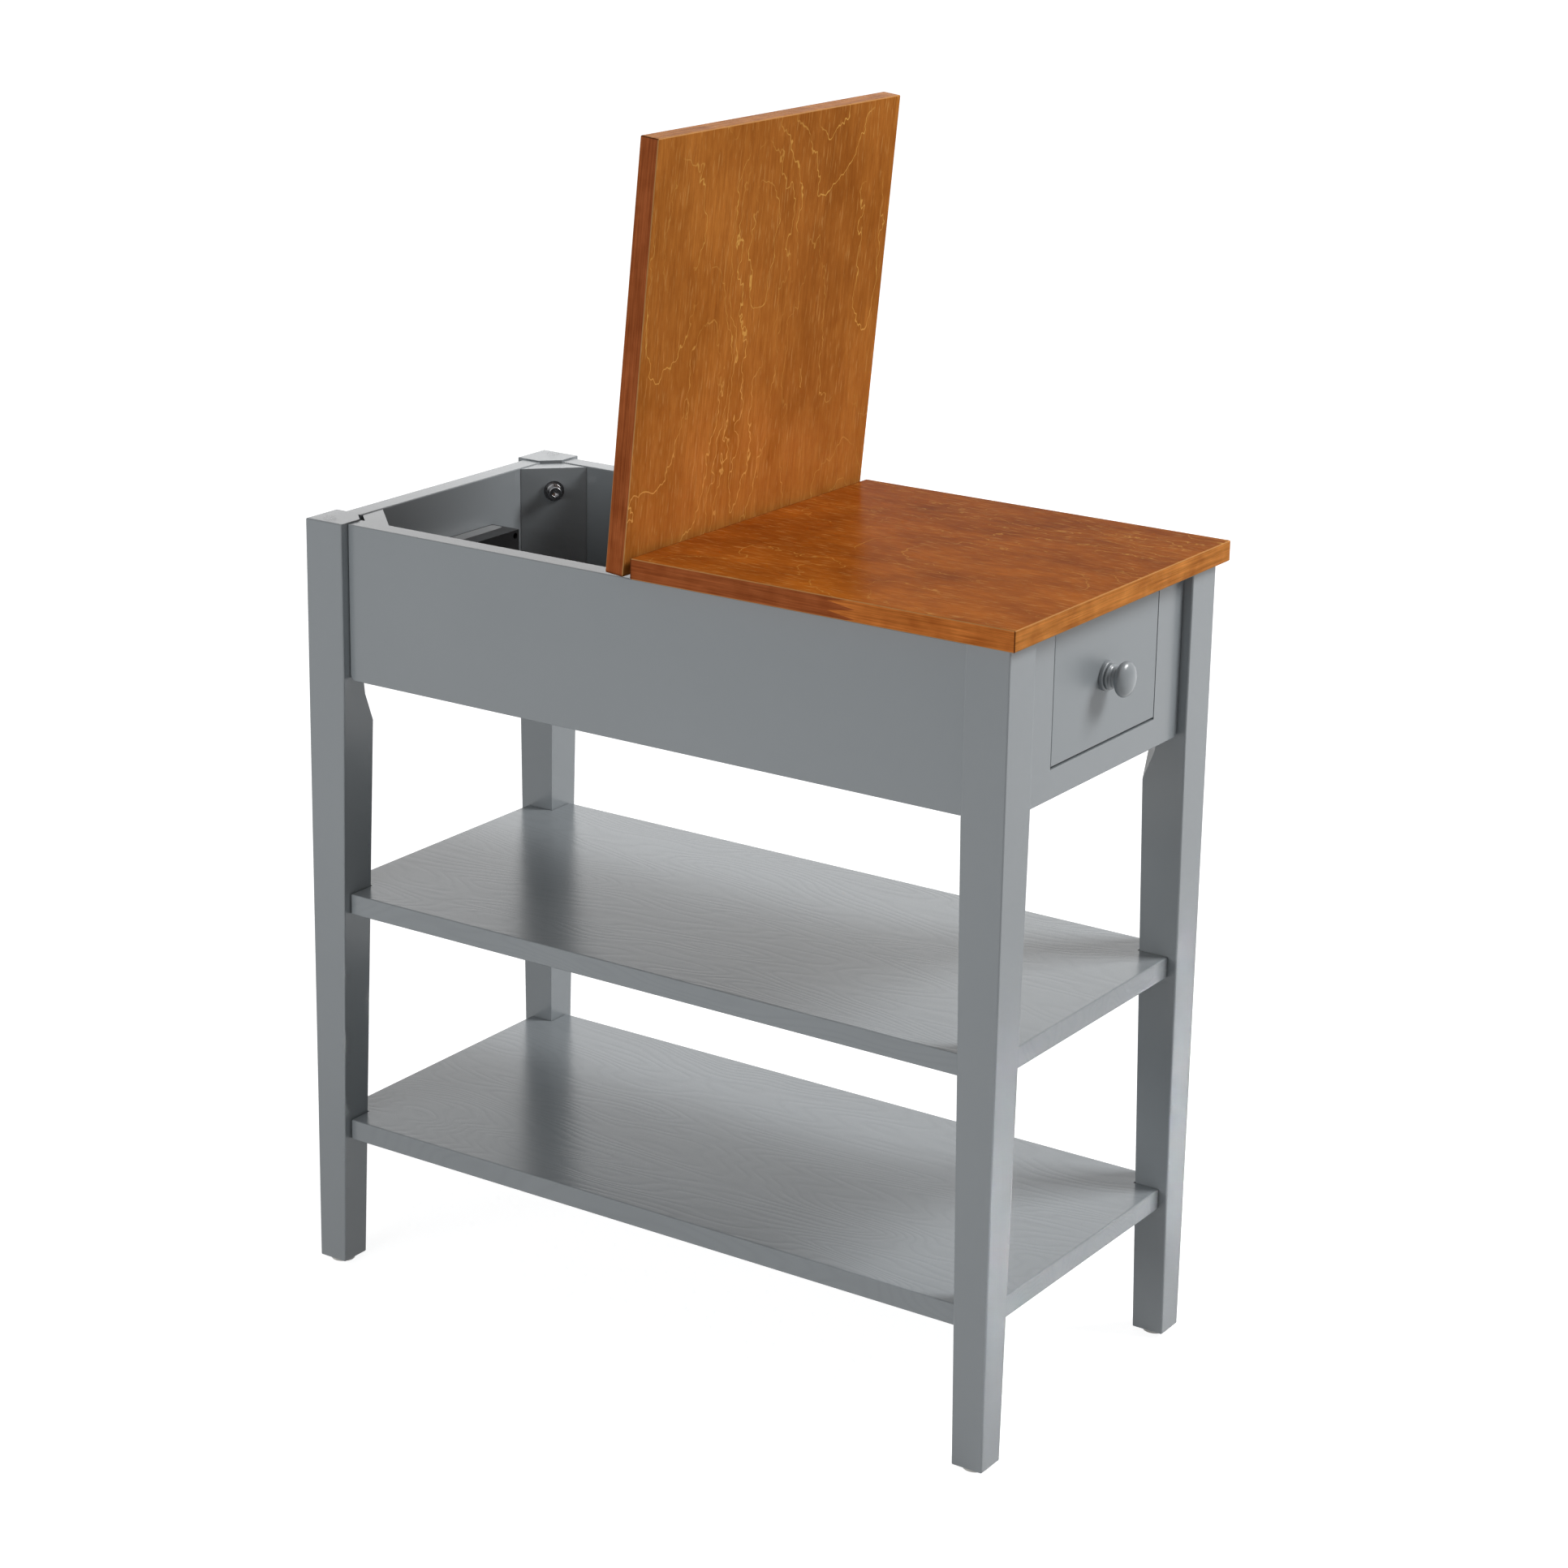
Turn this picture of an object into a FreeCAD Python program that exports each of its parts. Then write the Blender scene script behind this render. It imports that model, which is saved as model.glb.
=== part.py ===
import FreeCAD, Part

import os
import re

import Sketcher
from FreeCAD import Rotation, Vector

# Narrow chairside end table with a flip-up lid over a compartment, a fixed top over a drawer,
# two open shelves and four tapered legs.  Lengths are millimetres.  +X points out of the drawer's
# front, +Y to its right as seen from the front, +Z up.  The model stands open-lidded, drawer shut.

# ---------------------------------------------------------------- driving dimensions

SIZES = [
    ("total_height", 610.0, "floor to the upper face of the top panels"),
    ("top_length", 612.0, "closed top, end to end"),
    ("top_width", 300.0, "top panels, side to side"),
    ("panel_thickness", 15.0, "lid and fixed top"),
    ("panel_arris", 1.0, "softened edges of the top panels"),
    ("overhang", 7.0, "top beyond the legs, on every side"),
    ("top_gap", 3.0, "closed lid above the rear legs and the aprons' line"),
    ("fixed_top_length", 306.0, "fixed panel over the drawer"),
    ("seam_gap", 1.5, "between the closed lid and the fixed panel"),
    ("leg_section", 34.0, "square of a leg beside the aprons"),
    ("leg_foot", 24.5, "square of a leg at its foot"),
    ("leg_arris", 1.2, "softened edges of the legs"),
    ("leg_chamfer", 13.0, "flat on a leg's inner corner, measured on each face"),
    ("chamfer_rise", 7.5, "the flat is full from this far above the aprons' lower edge"),
    ("chamfer_bend", 10.0, "flat where it bends to run out, measured on each face"),
    ("chamfer_bend_drop", 14.5, "that bend below the aprons' lower edge"),
    ("chamfer_drop", 41.0, "the flat has run out this far below the aprons' lower edge"),
    ("glide_height", 3.0, "plastic glide under a leg"),
    ("glide_radius", 9.0, "plastic glide under a leg"),
    ("apron_height", 118.5, "all four aprons"),
    ("apron_thickness", 16.0, "all four aprons"),
    ("apron_inset", 7.0, "aprons behind the legs' outer faces"),
    ("apron_drop", 1.0, "aprons' upper edge below the legs' tops"),
    ("apron_gap", 0.5, "shadow line between an apron's end and its leg"),
    ("apron_corner", 5.0, "rounded lower corners of an apron"),
    ("apron_arris", 0.8, "softened lower edges of an apron"),
    ("block_thickness", 16.0, "corner blocks"),
    ("block_height", 100.0, "corner blocks"),
    ("block_drop", 0.6, "corner blocks below the aprons' upper edge"),
    ("block_gap", 3.9, "between a leg's flat and its corner block"),
    ("block_fit", 0.4, "glue line between a corner block and an apron"),
    ("bolt_radius", 2.95, "corner bolt shank"),
    ("bolt_length", 37.0, "corner bolt under its head"),
    ("bolt_head_radius", 5.0, "socket head"),
    ("bolt_head_height", 6.0, "socket head"),
    ("bolt_socket_radius", 2.9, "hexagon socket, across corners"),
    ("bolt_socket_depth", 3.0, "hexagon socket"),
    ("bolt_drop", 19.6, "upper corner bolts below the legs' tops"),
    ("bolt_spacing", 68.0, "upper to lower corner bolt"),
    ("bolt_hole_radius", 3.5, "bolt's hole in a corner block"),
    ("washer_thickness", 1.6, "flat washer and spring washer"),
    ("washer_radius", 8.0, "flat washer"),
    ("spring_washer_radius", 5.9, "spring washer"),
    ("spring_washer_slit", 1.5, "slit in the spring washer"),
    ("washer_hole_radius", 3.3, "both washers"),
    ("insert_radius", 4.5, "threaded insert in a leg"),
    ("insert_length", 15.0, "threaded insert in a leg"),
    ("hole_depth_spare", 1.0, "a blind hole beyond what it holds"),
    ("snug", 0.05, "radial clearance round what is pressed, screwed or glued in"),
    ("shelf_thickness", 16.0, "both shelves"),
    ("shelf_inset", 7.0, "shelves behind the legs' outer faces"),
    ("shelf_gap", 1.0, "shadow line between a shelf's notch and its leg"),
    ("shelf_arris", 1.0, "softened edges of the shelves"),
    ("upper_shelf_top", 304.5, "upper face above the floor"),
    ("lower_shelf_top", 120.5, "upper face above the floor"),
    ("cam_radius", 6.0, "cam lock in a shelf"),
    ("cam_height", 11.0, "cam lock in a shelf"),
    ("cam_setback", 24.0, "cam's centre from the shelf's notch"),
    ("cam_inset", 18.0, "cam's centre from the legs' outer side faces"),
    ("cam_bolt_radius", 3.0, "connecting bolt in a cam"),
    ("cam_bolt_grip", 11.0, "connecting bolt in a leg"),
    ("cam_bolt_reach", 2.0, "connecting bolt past the cam's centre"),
    ("cam_slot_radius", 3.5, "bore for the connecting bolt"),
    ("panel_fit", 0.3, "clearance round the inner panels"),
    ("divider_thickness", 15.0, "board between the compartment and the drawer"),
    ("divider_height", 110.0, "board between the compartment and the drawer"),
    ("divider_drop", 2.0, "divider's upper edge below the legs' tops"),
    ("divider_setback", 1.0, "divider's front face behind the fixed panel's end"),
    ("cleat_width", 12.0, "all glued cleats"),
    ("divider_cleat_height", 90.0, "upright cleats in front of the divider"),
    ("bottom_thickness", 6.0, "compartment bottom"),
    ("bottom_corner", 13.0, "clipped corners of the compartment bottom"),
    ("bottom_lift", 1.5, "bottom cleats above the aprons' lower edge"),
    ("bottom_cleat_height", 6.0, "cleats that carry the compartment bottom"),
    ("bottom_cleat_setback", 34.7, "bottom cleats' rear ends in front of the rear apron"),
    ("hinge_inset", 60.0, "hinges' middles from the lid's side edges"),
    ("hinge_setback", 10.4, "hinge pin behind the fixed panel's end"),
    ("hinge_rise", 9.8, "hinge pin above the panels' lower face"),
    ("open_angle", 95.3, "lid against its hinges' stop"),
    ("cup_radius", 17.5, "hinge cup's pocket in the lid"),
    ("cup_edge", 3.5, "wood between the cup's pocket and the lid's end"),
    ("cup_depth", 13.2, "hinge cup"),
    ("cup_wall", 0.8, "hinge cup's pressed steel"),
    ("cup_flange", 1.0, "hinge cup's flange, thickness"),
    ("cup_flange_radius", 19.0, "hinge cup's flange"),
    ("cup_ear_length", 56.0, "hinge cup's screw ears, tip to tip"),
    ("cup_ear_width", 15.0, "hinge cup's screw ears"),
    ("cup_screw_spacing", 46.0, "between the two cup screws"),
    ("pin_radius", 1.2, "hinge pin"),
    ("pin_length", 21.0, "hinge pin"),
    ("pin_running", 0.05, "radial clearance of the pin in the arm's eye"),
    ("eye_wall", 1.0, "steel round the pin"),
    ("arm_width", 14.0, "hinge arm"),
    ("arm_side_gap", 0.3, "hinge arm in its cup, each side"),
    ("arm_thickness", 2.6, "hinge arm"),
    ("arm_back", 15.4, "pin to the arm's upright"),
    ("arm_under", 15.2, "pin to the arm's lower run"),
    ("arm_plate_length", 30.0, "arm's plate on the divider"),
    ("arm_screw_spacing", 14.0, "between an arm's two screws"),
    ("lug_reach", 5.0, "cup's pin lugs behind the pin"),
    ("bumper_radius", 5.0, "clear bumper on a rear leg"),
    ("bumper_rest", 0.3, "closed lid above its bumpers"),
    ("bumper_inset_long", 16.0, "bumper's centre from the leg's end face"),
    ("bumper_inset_side", 9.0, "bumper's centre from the leg's side face"),
    ("screw_radius", 1.7, "all small wood screws"),
    ("screw_head_radius", 3.4, "all small wood screws"),
    ("screw_head_height", 2.0, "all small wood screws"),
    ("screw_bite", 10.0, "small wood screw in wood"),
    ("bracket_width", 20.0, "angle bracket under the fixed top"),
    ("bracket_leaf", 22.0, "angle bracket's two leaves"),
    ("bracket_steel", 2.0, "angle bracket's thickness"),
    ("bracket_front", 70.0, "front brackets' centre behind the front legs' faces"),
    ("bracket_rear", 46.0, "rear brackets' middles in front of the divider"),
    ("opening_inset", 47.5, "drawer opening from the side aprons' inner faces"),
    ("front_rail", 21.5, "front apron under the drawer"),
    ("front_side_gap", 0.7, "drawer front in its opening, each side"),
    ("front_lower_gap", 1.7, "drawer front above the rail"),
    ("front_thickness", 16.0, "drawer front"),
    ("front_arris", 0.6, "softened edges of the drawer front"),
    ("box_inset", 6.5, "drawer box inside its opening, each side"),
    ("box_room", 9.0, "between the divider and the drawer box"),
    ("box_lift", 6.0, "drawer box above the front rail"),
    ("side_thickness", 12.0, "drawer sides and back"),
    ("side_height", 84.0, "drawer sides"),
    ("back_drop", 4.0, "drawer back below the sides' upper edge"),
    ("drawer_bottom_thickness", 4.0, "drawer bottom"),
    ("groove_rise", 8.0, "groove above the drawer sides' lower edge"),
    ("groove_depth", 5.0, "groove for the drawer bottom"),
    ("groove_play", 0.2, "drawer bottom in its groove"),
    ("dowel_radius", 3.0, "drawer front dowels"),
    ("dowel_in_front", 11.0, "dowel in the drawer front"),
    ("dowel_in_side", 14.0, "dowel in a drawer side"),
    ("dowel_edge", 20.0, "dowels from the drawer sides' edges"),
    ("back_screw_edge", 16.0, "drawer back screws from the back's edges"),
    ("drawer_travel", 200.0, "drawer pulled out to its catches"),
    ("catch_length", 20.0, "catch on a drawer side"),
    ("catch_width", 9.0, "catch on a drawer side"),
    ("catch_height", 20.0, "catch on a drawer side"),
    ("catch_rise", 30.0, "catch above the drawer side's lower edge"),
    ("stop_gap", 0.3, "catches and stops from what they meet"),
    ("stop_height", 20.0, "rear stop on the divider"),
    ("runner_play", 0.3, "drawer box above its runners"),
    ("guide_play", 0.5, "drawer box beside its runners"),
    ("runner_ledge", 10.0, "runner under the drawer side"),
    ("runner_depth", 16.0, "runner below the ledge"),
    ("guide_width", 11.5, "runner's upright guide"),
    ("guide_height", 15.0, "runner's upright guide"),
    ("knob_length", 20.9, "knob from the drawer front to its tip"),
    ("knob_head_radius", 12.65, "knob's flattened ball"),
    ("knob_head_half", 6.0, "half the ball's thickness"),
    ("knob_base_radius", 10.0, "knob's foot"),
    ("knob_base_thickness", 3.0, "knob's foot"),
    ("knob_base_round", 1.0, "knob's foot, rounded edge"),
    ("knob_bead_radius", 8.8, "bead next to the knob's foot"),
    ("knob_bead_round", 1.2, "bead's half thickness"),
    ("knob_neck_radius", 6.8, "knob's neck"),
    ("knob_drop", 49.0, "knob's centre below the legs' tops"),
    ("knob_screw_radius", 2.0, "knob's machine screw"),
    ("knob_screw_grip", 12.0, "machine screw in the knob"),
    ("knob_screw_head_radius", 4.0, "machine screw's head"),
    ("knob_screw_head_height", 2.4, "machine screw's head"),
    ("housing_width", 95.0, "power unit's housing, side to side"),
    ("housing_height", 42.0, "power unit's housing"),
    ("housing_depth", 26.0, "power unit's housing into the compartment"),
    ("housing_wall", 2.0, "power unit's housing"),
    ("housing_drop", 38.8, "housing's upper face below the legs' tops"),
    ("housing_post", 9.0, "square screw posts in the housing's corners"),
    ("housing_hole_radius", 2.5, "screwdriver hole in a post"),
    ("housing_hole_inset", 4.5, "screwdriver hole's centre from the housing's sides"),
    ("housing_web", 6.0, "post's floor under the screw's head"),
    ("housing_screw_head_radius", 2.2, "housing screw's head"),
    ("housing_screw_radius", 1.4, "housing screw"),
    ("cutout_width", 80.0, "power unit's cut-out in the rear apron"),
    ("cutout_height", 30.0, "power unit's cut-out in the rear apron"),
    ("bezel_width", 100.0, "power unit's outer plate"),
    ("bezel_height", 46.0, "power unit's outer plate"),
    ("bezel_thickness", 2.5, "power unit's outer plate"),
    ("bezel_corner", 6.0, "outer plate's round corners"),
    ("core_width", 74.0, "socket body"),
    ("core_height", 26.0, "socket body"),
    ("core_depth", 30.0, "socket body behind the outer plate's face"),
    ("socket_spacing", 24.0, "between the two mains sockets"),
    ("socket_offset", -13.0, "mains sockets' middle from the socket body's middle"),
    ("blade_spacing", 12.7, "between a socket's two blade slots"),
    ("blade_height", 7.5, "blade slot"),
    ("blade_width", 2.0, "blade slot"),
    ("blade_rise", 3.5, "blade slots' middle above the socket body's middle"),
    ("earth_radius", 2.5, "earth hole"),
    ("earth_drop", 8.0, "earth hole below the blade slots"),
    ("socket_depth", 18.0, "holes in the socket body"),
    ("usb_width", 5.2, "charging port"),
    ("usb_height", 12.6, "charging port"),
    ("usb_spacing", 11.0, "between the two charging ports"),
    ("usb_offset", 26.0, "charging ports' middle from the socket body's middle"),
    ("usb_depth", 12.0, "charging port"),
    ("tongue_width", 1.8, "charging port's contact tongue"),
    ("tongue_height", 11.0, "charging port's contact tongue"),
    ("tongue_recess", 1.0, "contact tongue behind the port's mouth"),
    ("gland_radius", 6.0, "cord gland's collar"),
    ("gland_length", 9.0, "cord gland's collar"),
    ("gland_bore", 3.6, "cord's way through the gland"),
    ("gland_neck", 4.5, "gland in the housing's wall"),
    ("cord_hole_radius", 9.0, "cord's hole in the compartment bottom"),
    ("cord_hole_out", 62.0, "cord hole's centre from the middle of the rear apron"),
    ("cord_hole_setback", 14.0, "cord hole's centre from the rear apron"),
    ("grommet_lip", 2.5, "grommet's lip round the cord hole"),
    ("grommet_bore", 6.5, "cord's way through the grommet"),
    ("grommet_lip_thickness", 1.5, "grommet's lip"),
    ("grommet_play", 0.1, "grommet in its hole"),
]

doc = FreeCAD.newDocument("lift_top_end_table")
sheet = doc.addObject("Spreadsheet::Sheet", "Dims")
for row, (alias, size, meaning) in enumerate(SIZES, start=1):
    sheet.set(f"A{row}", alias)
    sheet.set(f"B{row}", str(size))
    sheet.set(f"C{row}", meaning)
    sheet.setAlias(f"B{row}", alias)
doc.recompute()

# ---------------------------------------------------------------- rules shared by several pieces
# A rule is an expression whose words are the sheet's aliases.  Places are measured from the middle
# of the legs' footprint; MIDDLE moves them so that the whole model is centred on the origin.

MIDDLE = "(knob_length - apron_inset) / 2"
FOOT_X = "(top_length / 2 - overhang)"
FOOT_Y = "(top_width / 2 - overhang)"
PANEL_UNDER = "(total_height - panel_thickness)"
FRAME_TOP = f"({PANEL_UNDER} - top_gap)"
APRON_TOP = f"({FRAME_TOP} - apron_drop)"
APRON_BOTTOM = f"({APRON_TOP} - apron_height)"
APRON_BACK = "(apron_inset + apron_thickness)"
INSIDE_X = f"({FOOT_X} - {APRON_BACK})"
INSIDE_Y = f"({FOOT_Y} - {APRON_BACK})"
SEAM_X = "(top_length / 2 - fixed_top_length)"
DIVIDER_FRONT = f"({SEAM_X} - divider_setback)"
DIVIDER_BACK = f"({DIVIDER_FRONT} - divider_thickness)"
DIVIDER_BOTTOM = f"({FRAME_TOP} - divider_drop - divider_height)"
OPENING_HALF = f"({INSIDE_Y} - opening_inset)"
HINGE_Y = "(top_width / 2 - hinge_inset)"
UPPER_BOLT_Z = f"({FRAME_TOP} - bolt_drop)"
LOWER_BOLT_Z = f"({UPPER_BOLT_Z} - bolt_spacing)"

UP = Vector(0, 0, 1)
DOWN = Vector(0, 0, -1)
FORWARD = Vector(1, 0, 0)
REARWARD = Vector(-1, 0, 0)
RIGHTWARD = Vector(0, 1, 0)
LEFTWARD = Vector(0, -1, 0)
SIDES = (("left", "-", LEFTWARD), ("right", "", RIGHTWARD))
CORNERS = (("rear", -1, "left", -1), ("rear", -1, "right", 1),
           ("front", 1, "left", -1), ("front", 1, "right", 1))
TOUCHING = 0.001     # mm between faces or edges that count as in one place
PARALLEL = 0.99      # cosine above which two directions count as one
START_RADIUS = 10.0  # mm; an outline's corners stand on this circle until their rules move them

nodes = []


def bind(target, name, rule):
    """Tie a property to a rule made of the sheet's aliases."""
    target.setExpression(name, re.sub(r"\b([a-z]\w*)\b(?!\()", r"Dims.\1", rule))


def keep(piece, label):
    """Name a finished sub-part and list it."""
    piece.Label = label
    nodes.append(piece)
    return piece


def at(piece, x, y, z, direction=UP, origin=MIDDLE):
    """Place a piece, its own Z turned to a direction, in the table's frame or about origin "0"."""
    piece.Placement = FreeCAD.Placement(Vector(), Rotation(UP, direction))
    bind(piece, "Placement.Base.x", f"{x} - {origin}")
    bind(piece, "Placement.Base.y", y)
    bind(piece, "Placement.Base.z", z)
    return piece


def box(name, size, corner, origin=MIDDLE):
    """A rectangular block from its lowest corner."""
    piece = doc.addObject("Part::Box", name)
    for edge, rule in zip(("Length", "Width", "Height"), size):
        bind(piece, edge, rule)
    return at(piece, *corner, origin=origin)


def rod(name, radius, length, start, direction=UP, origin=MIDDLE):
    """A cylinder from the middle of its first face."""
    piece = doc.addObject("Part::Cylinder", name)
    bind(piece, "Radius", radius)
    bind(piece, "Height", length)
    return at(piece, *start, direction=direction, origin=origin)


def cut(name, base, tools):
    """The base without the tools."""
    tool = tools[0]
    if len(tools) > 1:
        tool = fuse(f"{name}_tools", tools)
    piece = doc.addObject("Part::Cut", name)
    piece.Base = base
    piece.Tool = tool
    return piece


def fuse(name, shapes):
    """Several shapes as one solid."""
    piece = doc.addObject("Part::MultiFuse", name)
    piece.Shapes = shapes
    return piece


def group(name, solids):
    """Separate like solids that share one node."""
    piece = doc.addObject("Part::Compound", name)
    piece.Links = solids
    return piece


def mirror(name, source, normal):
    """The same piece on the other side of the table's middle plane."""
    piece = doc.addObject("Part::Mirroring", name)
    piece.Source = source
    piece.Normal = normal
    bind(piece, "Base.x", f"-{MIDDLE}")
    return piece


def outline(body, plane_role, corners, offset="0"):
    """A closed polygon sketch on one of the body's own origin planes."""
    plane = next(item for item in body.Origin.OriginFeatures if item.Role == plane_role)
    sketch = body.newObject("Sketcher::SketchObject", f"{body.Name}_outline")
    sketch.AttachmentSupport = [(plane, "")]
    sketch.MapMode = "FlatFace"
    bind(sketch, "AttachmentOffset.Base.z", offset)
    count = len(corners)
    start = Vector(START_RADIUS, 0, 0)
    ring = [Rotation(UP, 360.0 * index / count).multVec(start) for index in range(count)]
    for index in range(count):
        sketch.addGeometry(Part.LineSegment(ring[index], ring[(index + 1) % count]), False)
    for index, (across, along) in enumerate(corners):
        sketch.addConstraint(Sketcher.Constraint("Coincident", index, 2, (index + 1) % count, 1))
        row = sketch.addConstraint(Sketcher.Constraint("DistanceX", -1, 1, index, 1, ring[index].x))
        bind(sketch, f"Constraints[{row}]", across)
        row = sketch.addConstraint(Sketcher.Constraint("DistanceY", -1, 1, index, 1, ring[index].y))
        bind(sketch, f"Constraints[{row}]", along)
    return sketch


def pad(body, sketch, length):
    """Thicken an outline along its normal."""
    feature = body.newObject("PartDesign::Pad", f"{body.Name}_pad")
    feature.Profile = sketch
    bind(feature, "Length", length)
    return feature


def soften(body, radius, wanted):
    """Round the edges of a body that pass a test of the edge and the body's own bounds."""
    doc.recompute()
    tip = body.Tip
    bounds = tip.Shape.BoundBox
    edges = [f"Edge{index}" for index, edge in enumerate(tip.Shape.Edges, start=1) if wanted(edge, bounds)]
    feature = body.newObject("PartDesign::Fillet", f"{body.Name}_fillet")
    feature.Base = (tip, edges)
    bind(feature, "Radius", radius)
    return body


def prism(name, corners, bottom, height, origin=MIDDLE):
    """A body with an outline seen from above, as high as stated."""
    body = doc.addObject("PartDesign::Body", name)
    pad(body, outline(body, "XY_Plane", corners, bottom), height)
    return at(body, "0", "0", "0", origin=origin)


def rectangle(low_x, low_y, high_x, high_y):
    """Corners of a rectangle."""
    return [(low_x, low_y), (high_x, low_y), (high_x, high_y), (low_x, high_y)]


def along(edge, axis):
    """Whether a straight edge runs along an axis."""
    ends = edge.Vertexes[-1].Point - edge.Vertexes[0].Point
    return ends.Length > 0 and abs(ends.normalize().dot(axis)) > PARALLEL


def centre(edge):
    """Middle of an edge's bounds."""
    return edge.BoundBox.Center


def anywhere(edge, bounds):
    """Every edge."""
    return True


def lower_corner(edge, bounds):
    """The lower end corners of a board that is seen from its long side."""
    across = Vector(0, 1, 0) if bounds.XLength > bounds.YLength else Vector(1, 0, 0)
    return along(edge, across) and edge.BoundBox.ZMax < bounds.ZMin + TOUCHING


def long_arris(edge, bounds):
    """The edges along a board's length."""
    length = Vector(1, 0, 0) if bounds.XLength > bounds.YLength else Vector(0, 1, 0)
    return along(edge, length)


def outer_arris(edge, bounds):
    """The level edges on the four outermost faces."""
    point = centre(edge)
    outer_x = min(bounds.XMax - point.x, point.x - bounds.XMin) < TOUCHING
    outer_y = min(bounds.YMax - point.y, point.y - bounds.YMin) < TOUCHING
    return (outer_x or outer_y) and not along(edge, UP)


def outer_or_foot(edge, bounds):
    """The edges of a leg's two outer faces and those round its foot."""
    reach = edge.BoundBox
    outer = min(reach.XMax - bounds.XMin, reach.YMax - bounds.YMin) < TOUCHING
    return outer or reach.ZMax < bounds.ZMin + TOUCHING


def frontmost(edge, bounds):
    """The edges round the frontmost face."""
    return edge.BoundBox.XMin > bounds.XMax - TOUCHING


def screw(name, length, start, direction, origin=MIDDLE):
    """A pan-head wood screw: start is under its head, length is its shank."""
    shank = rod(f"{name}_shank", "screw_radius", length, start, direction, origin)
    head = rod(f"{name}_head", "screw_head_radius", "screw_head_height", start, -direction, origin)
    return fuse(name, [shank, head])


def screw_hole(name, length, start, direction, origin=MIDDLE):
    """The hole that a small wood screw turns into."""
    return rod(name, "screw_radius + snug", length, start, direction, origin)


# ---------------------------------------------------------------- legs
# A square above the aprons' lower edge, tapered on its two inner faces below it.  The inner corner
# is flattened where the corner block's bolts pull on it.  The front legs reach up to the fixed panel
# and carry it; the rear ones stop short of the closed lid.

def leg_width(height):
    """Side of a leg at a height on its tapered length."""
    rise = f"({height} - glide_height) / ({APRON_BOTTOM} - glide_height)"
    return f"(leg_foot + (leg_section - leg_foot) * {rise})"


def flat_section(body, flat, height):
    """Triangle that cuts a leg's inner corner back by the flat, with 1 mm to spare outside it."""
    outer = "(leg_section + 1)"
    inner = f"(leg_section - {flat} - 1)"
    return outline(body, "XY_Plane", [(outer, inner), (outer, outer), (inner, outer)], height)


def leg_blank(name, top):
    """A rear left leg before it is drilled, with its upper end at a height."""
    body = doc.addObject("PartDesign::Body", name)
    at(body, f"-{FOOT_X}", f"-{FOOT_Y}", "0")
    profile = [("0", "glide_height"), ("leg_foot", "glide_height"), ("leg_section", APRON_BOTTOM),
               ("leg_section", top), ("0", top)]
    pad(body, outline(body, "XZ_Plane", profile), "leg_section").Reversed = True
    waste = [("leg_foot", "glide_height"), ("leg_section", APRON_BOTTOM),
             ("leg_section + 1", APRON_BOTTOM), ("leg_section + 1", "0"), ("leg_foot", "0")]
    side_taper = body.newObject("PartDesign::Pocket", f"{name}_side_taper")
    side_taper.Profile = outline(body, "YZ_Plane", waste)
    side_taper.Reversed = True
    bind(side_taper, "Length", "leg_section")
    inner_flat = body.newObject("PartDesign::SubtractiveLoft", f"{name}_inner_flat")
    inner_flat.Profile = flat_section(body, "0", f"{APRON_BOTTOM} - chamfer_drop")
    inner_flat.Sections = [flat_section(body, "chamfer_bend", f"{APRON_BOTTOM} - chamfer_bend_drop"),
                           flat_section(body, "leg_chamfer", f"{APRON_BOTTOM} + chamfer_rise"),
                           flat_section(body, "leg_chamfer", f"{top} + 1")]
    inner_flat.Ruled = True
    soften(body, "leg_arris", outer_or_foot)
    return body


# ---------------------------------------------------------------- places round a corner
# u runs from a leg's outer corner along X, v along Y.

def corner_place(end, side, u, v):
    """Table coordinates of a point u, v in from a leg's outer corner."""
    return f"{end} * ({FOOT_X} - {u})", f"{side} * ({FOOT_Y} - {v})"


def diagonal(beyond):
    """u and v of a point on the corner's diagonal, a distance beyond the leg's flat."""
    return f"(leg_section - leg_chamfer / 2 + ({beyond}) / sqrt(2))"


def inward(end, side):
    """Level direction from a leg's outer corner to the table's middle."""
    return Vector(-end, -side, 0)


def diagonal_rod(name, radius, beyond, length, height, end, side, towards=1):
    """A level rod on a corner's diagonal that starts a distance beyond the leg's flat."""
    start = (*corner_place(end, side, diagonal(beyond), diagonal(beyond)), height)
    return rod(name, radius, length, start, inward(end, side) * towards)


BLOCK_FACE = "block_gap + block_thickness"
SHELVES = (("upper", "upper_shelf_top"), ("lower", "lower_shelf_top"))


def notch(top):
    """u of a shelf's notch face beside a leg."""
    return f"({leg_width(top)} + shelf_gap)"


def cam_bolt(name, radius, top, end, side, spare="0"):
    """Connecting bolt from inside a leg to just past its cam's centre, or the bore for it."""
    height = f"{top} - shelf_thickness / 2"
    first = f"({leg_width(height)} - cam_bolt_grip - {spare})"
    last = f"({notch(top)} + cam_setback + cam_bolt_reach)"
    x, y = corner_place(end, side, first, "cam_inset")
    return rod(name, radius, f"{last} - {first}", (x, y, height), Vector(-end, 0, 0))


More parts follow.
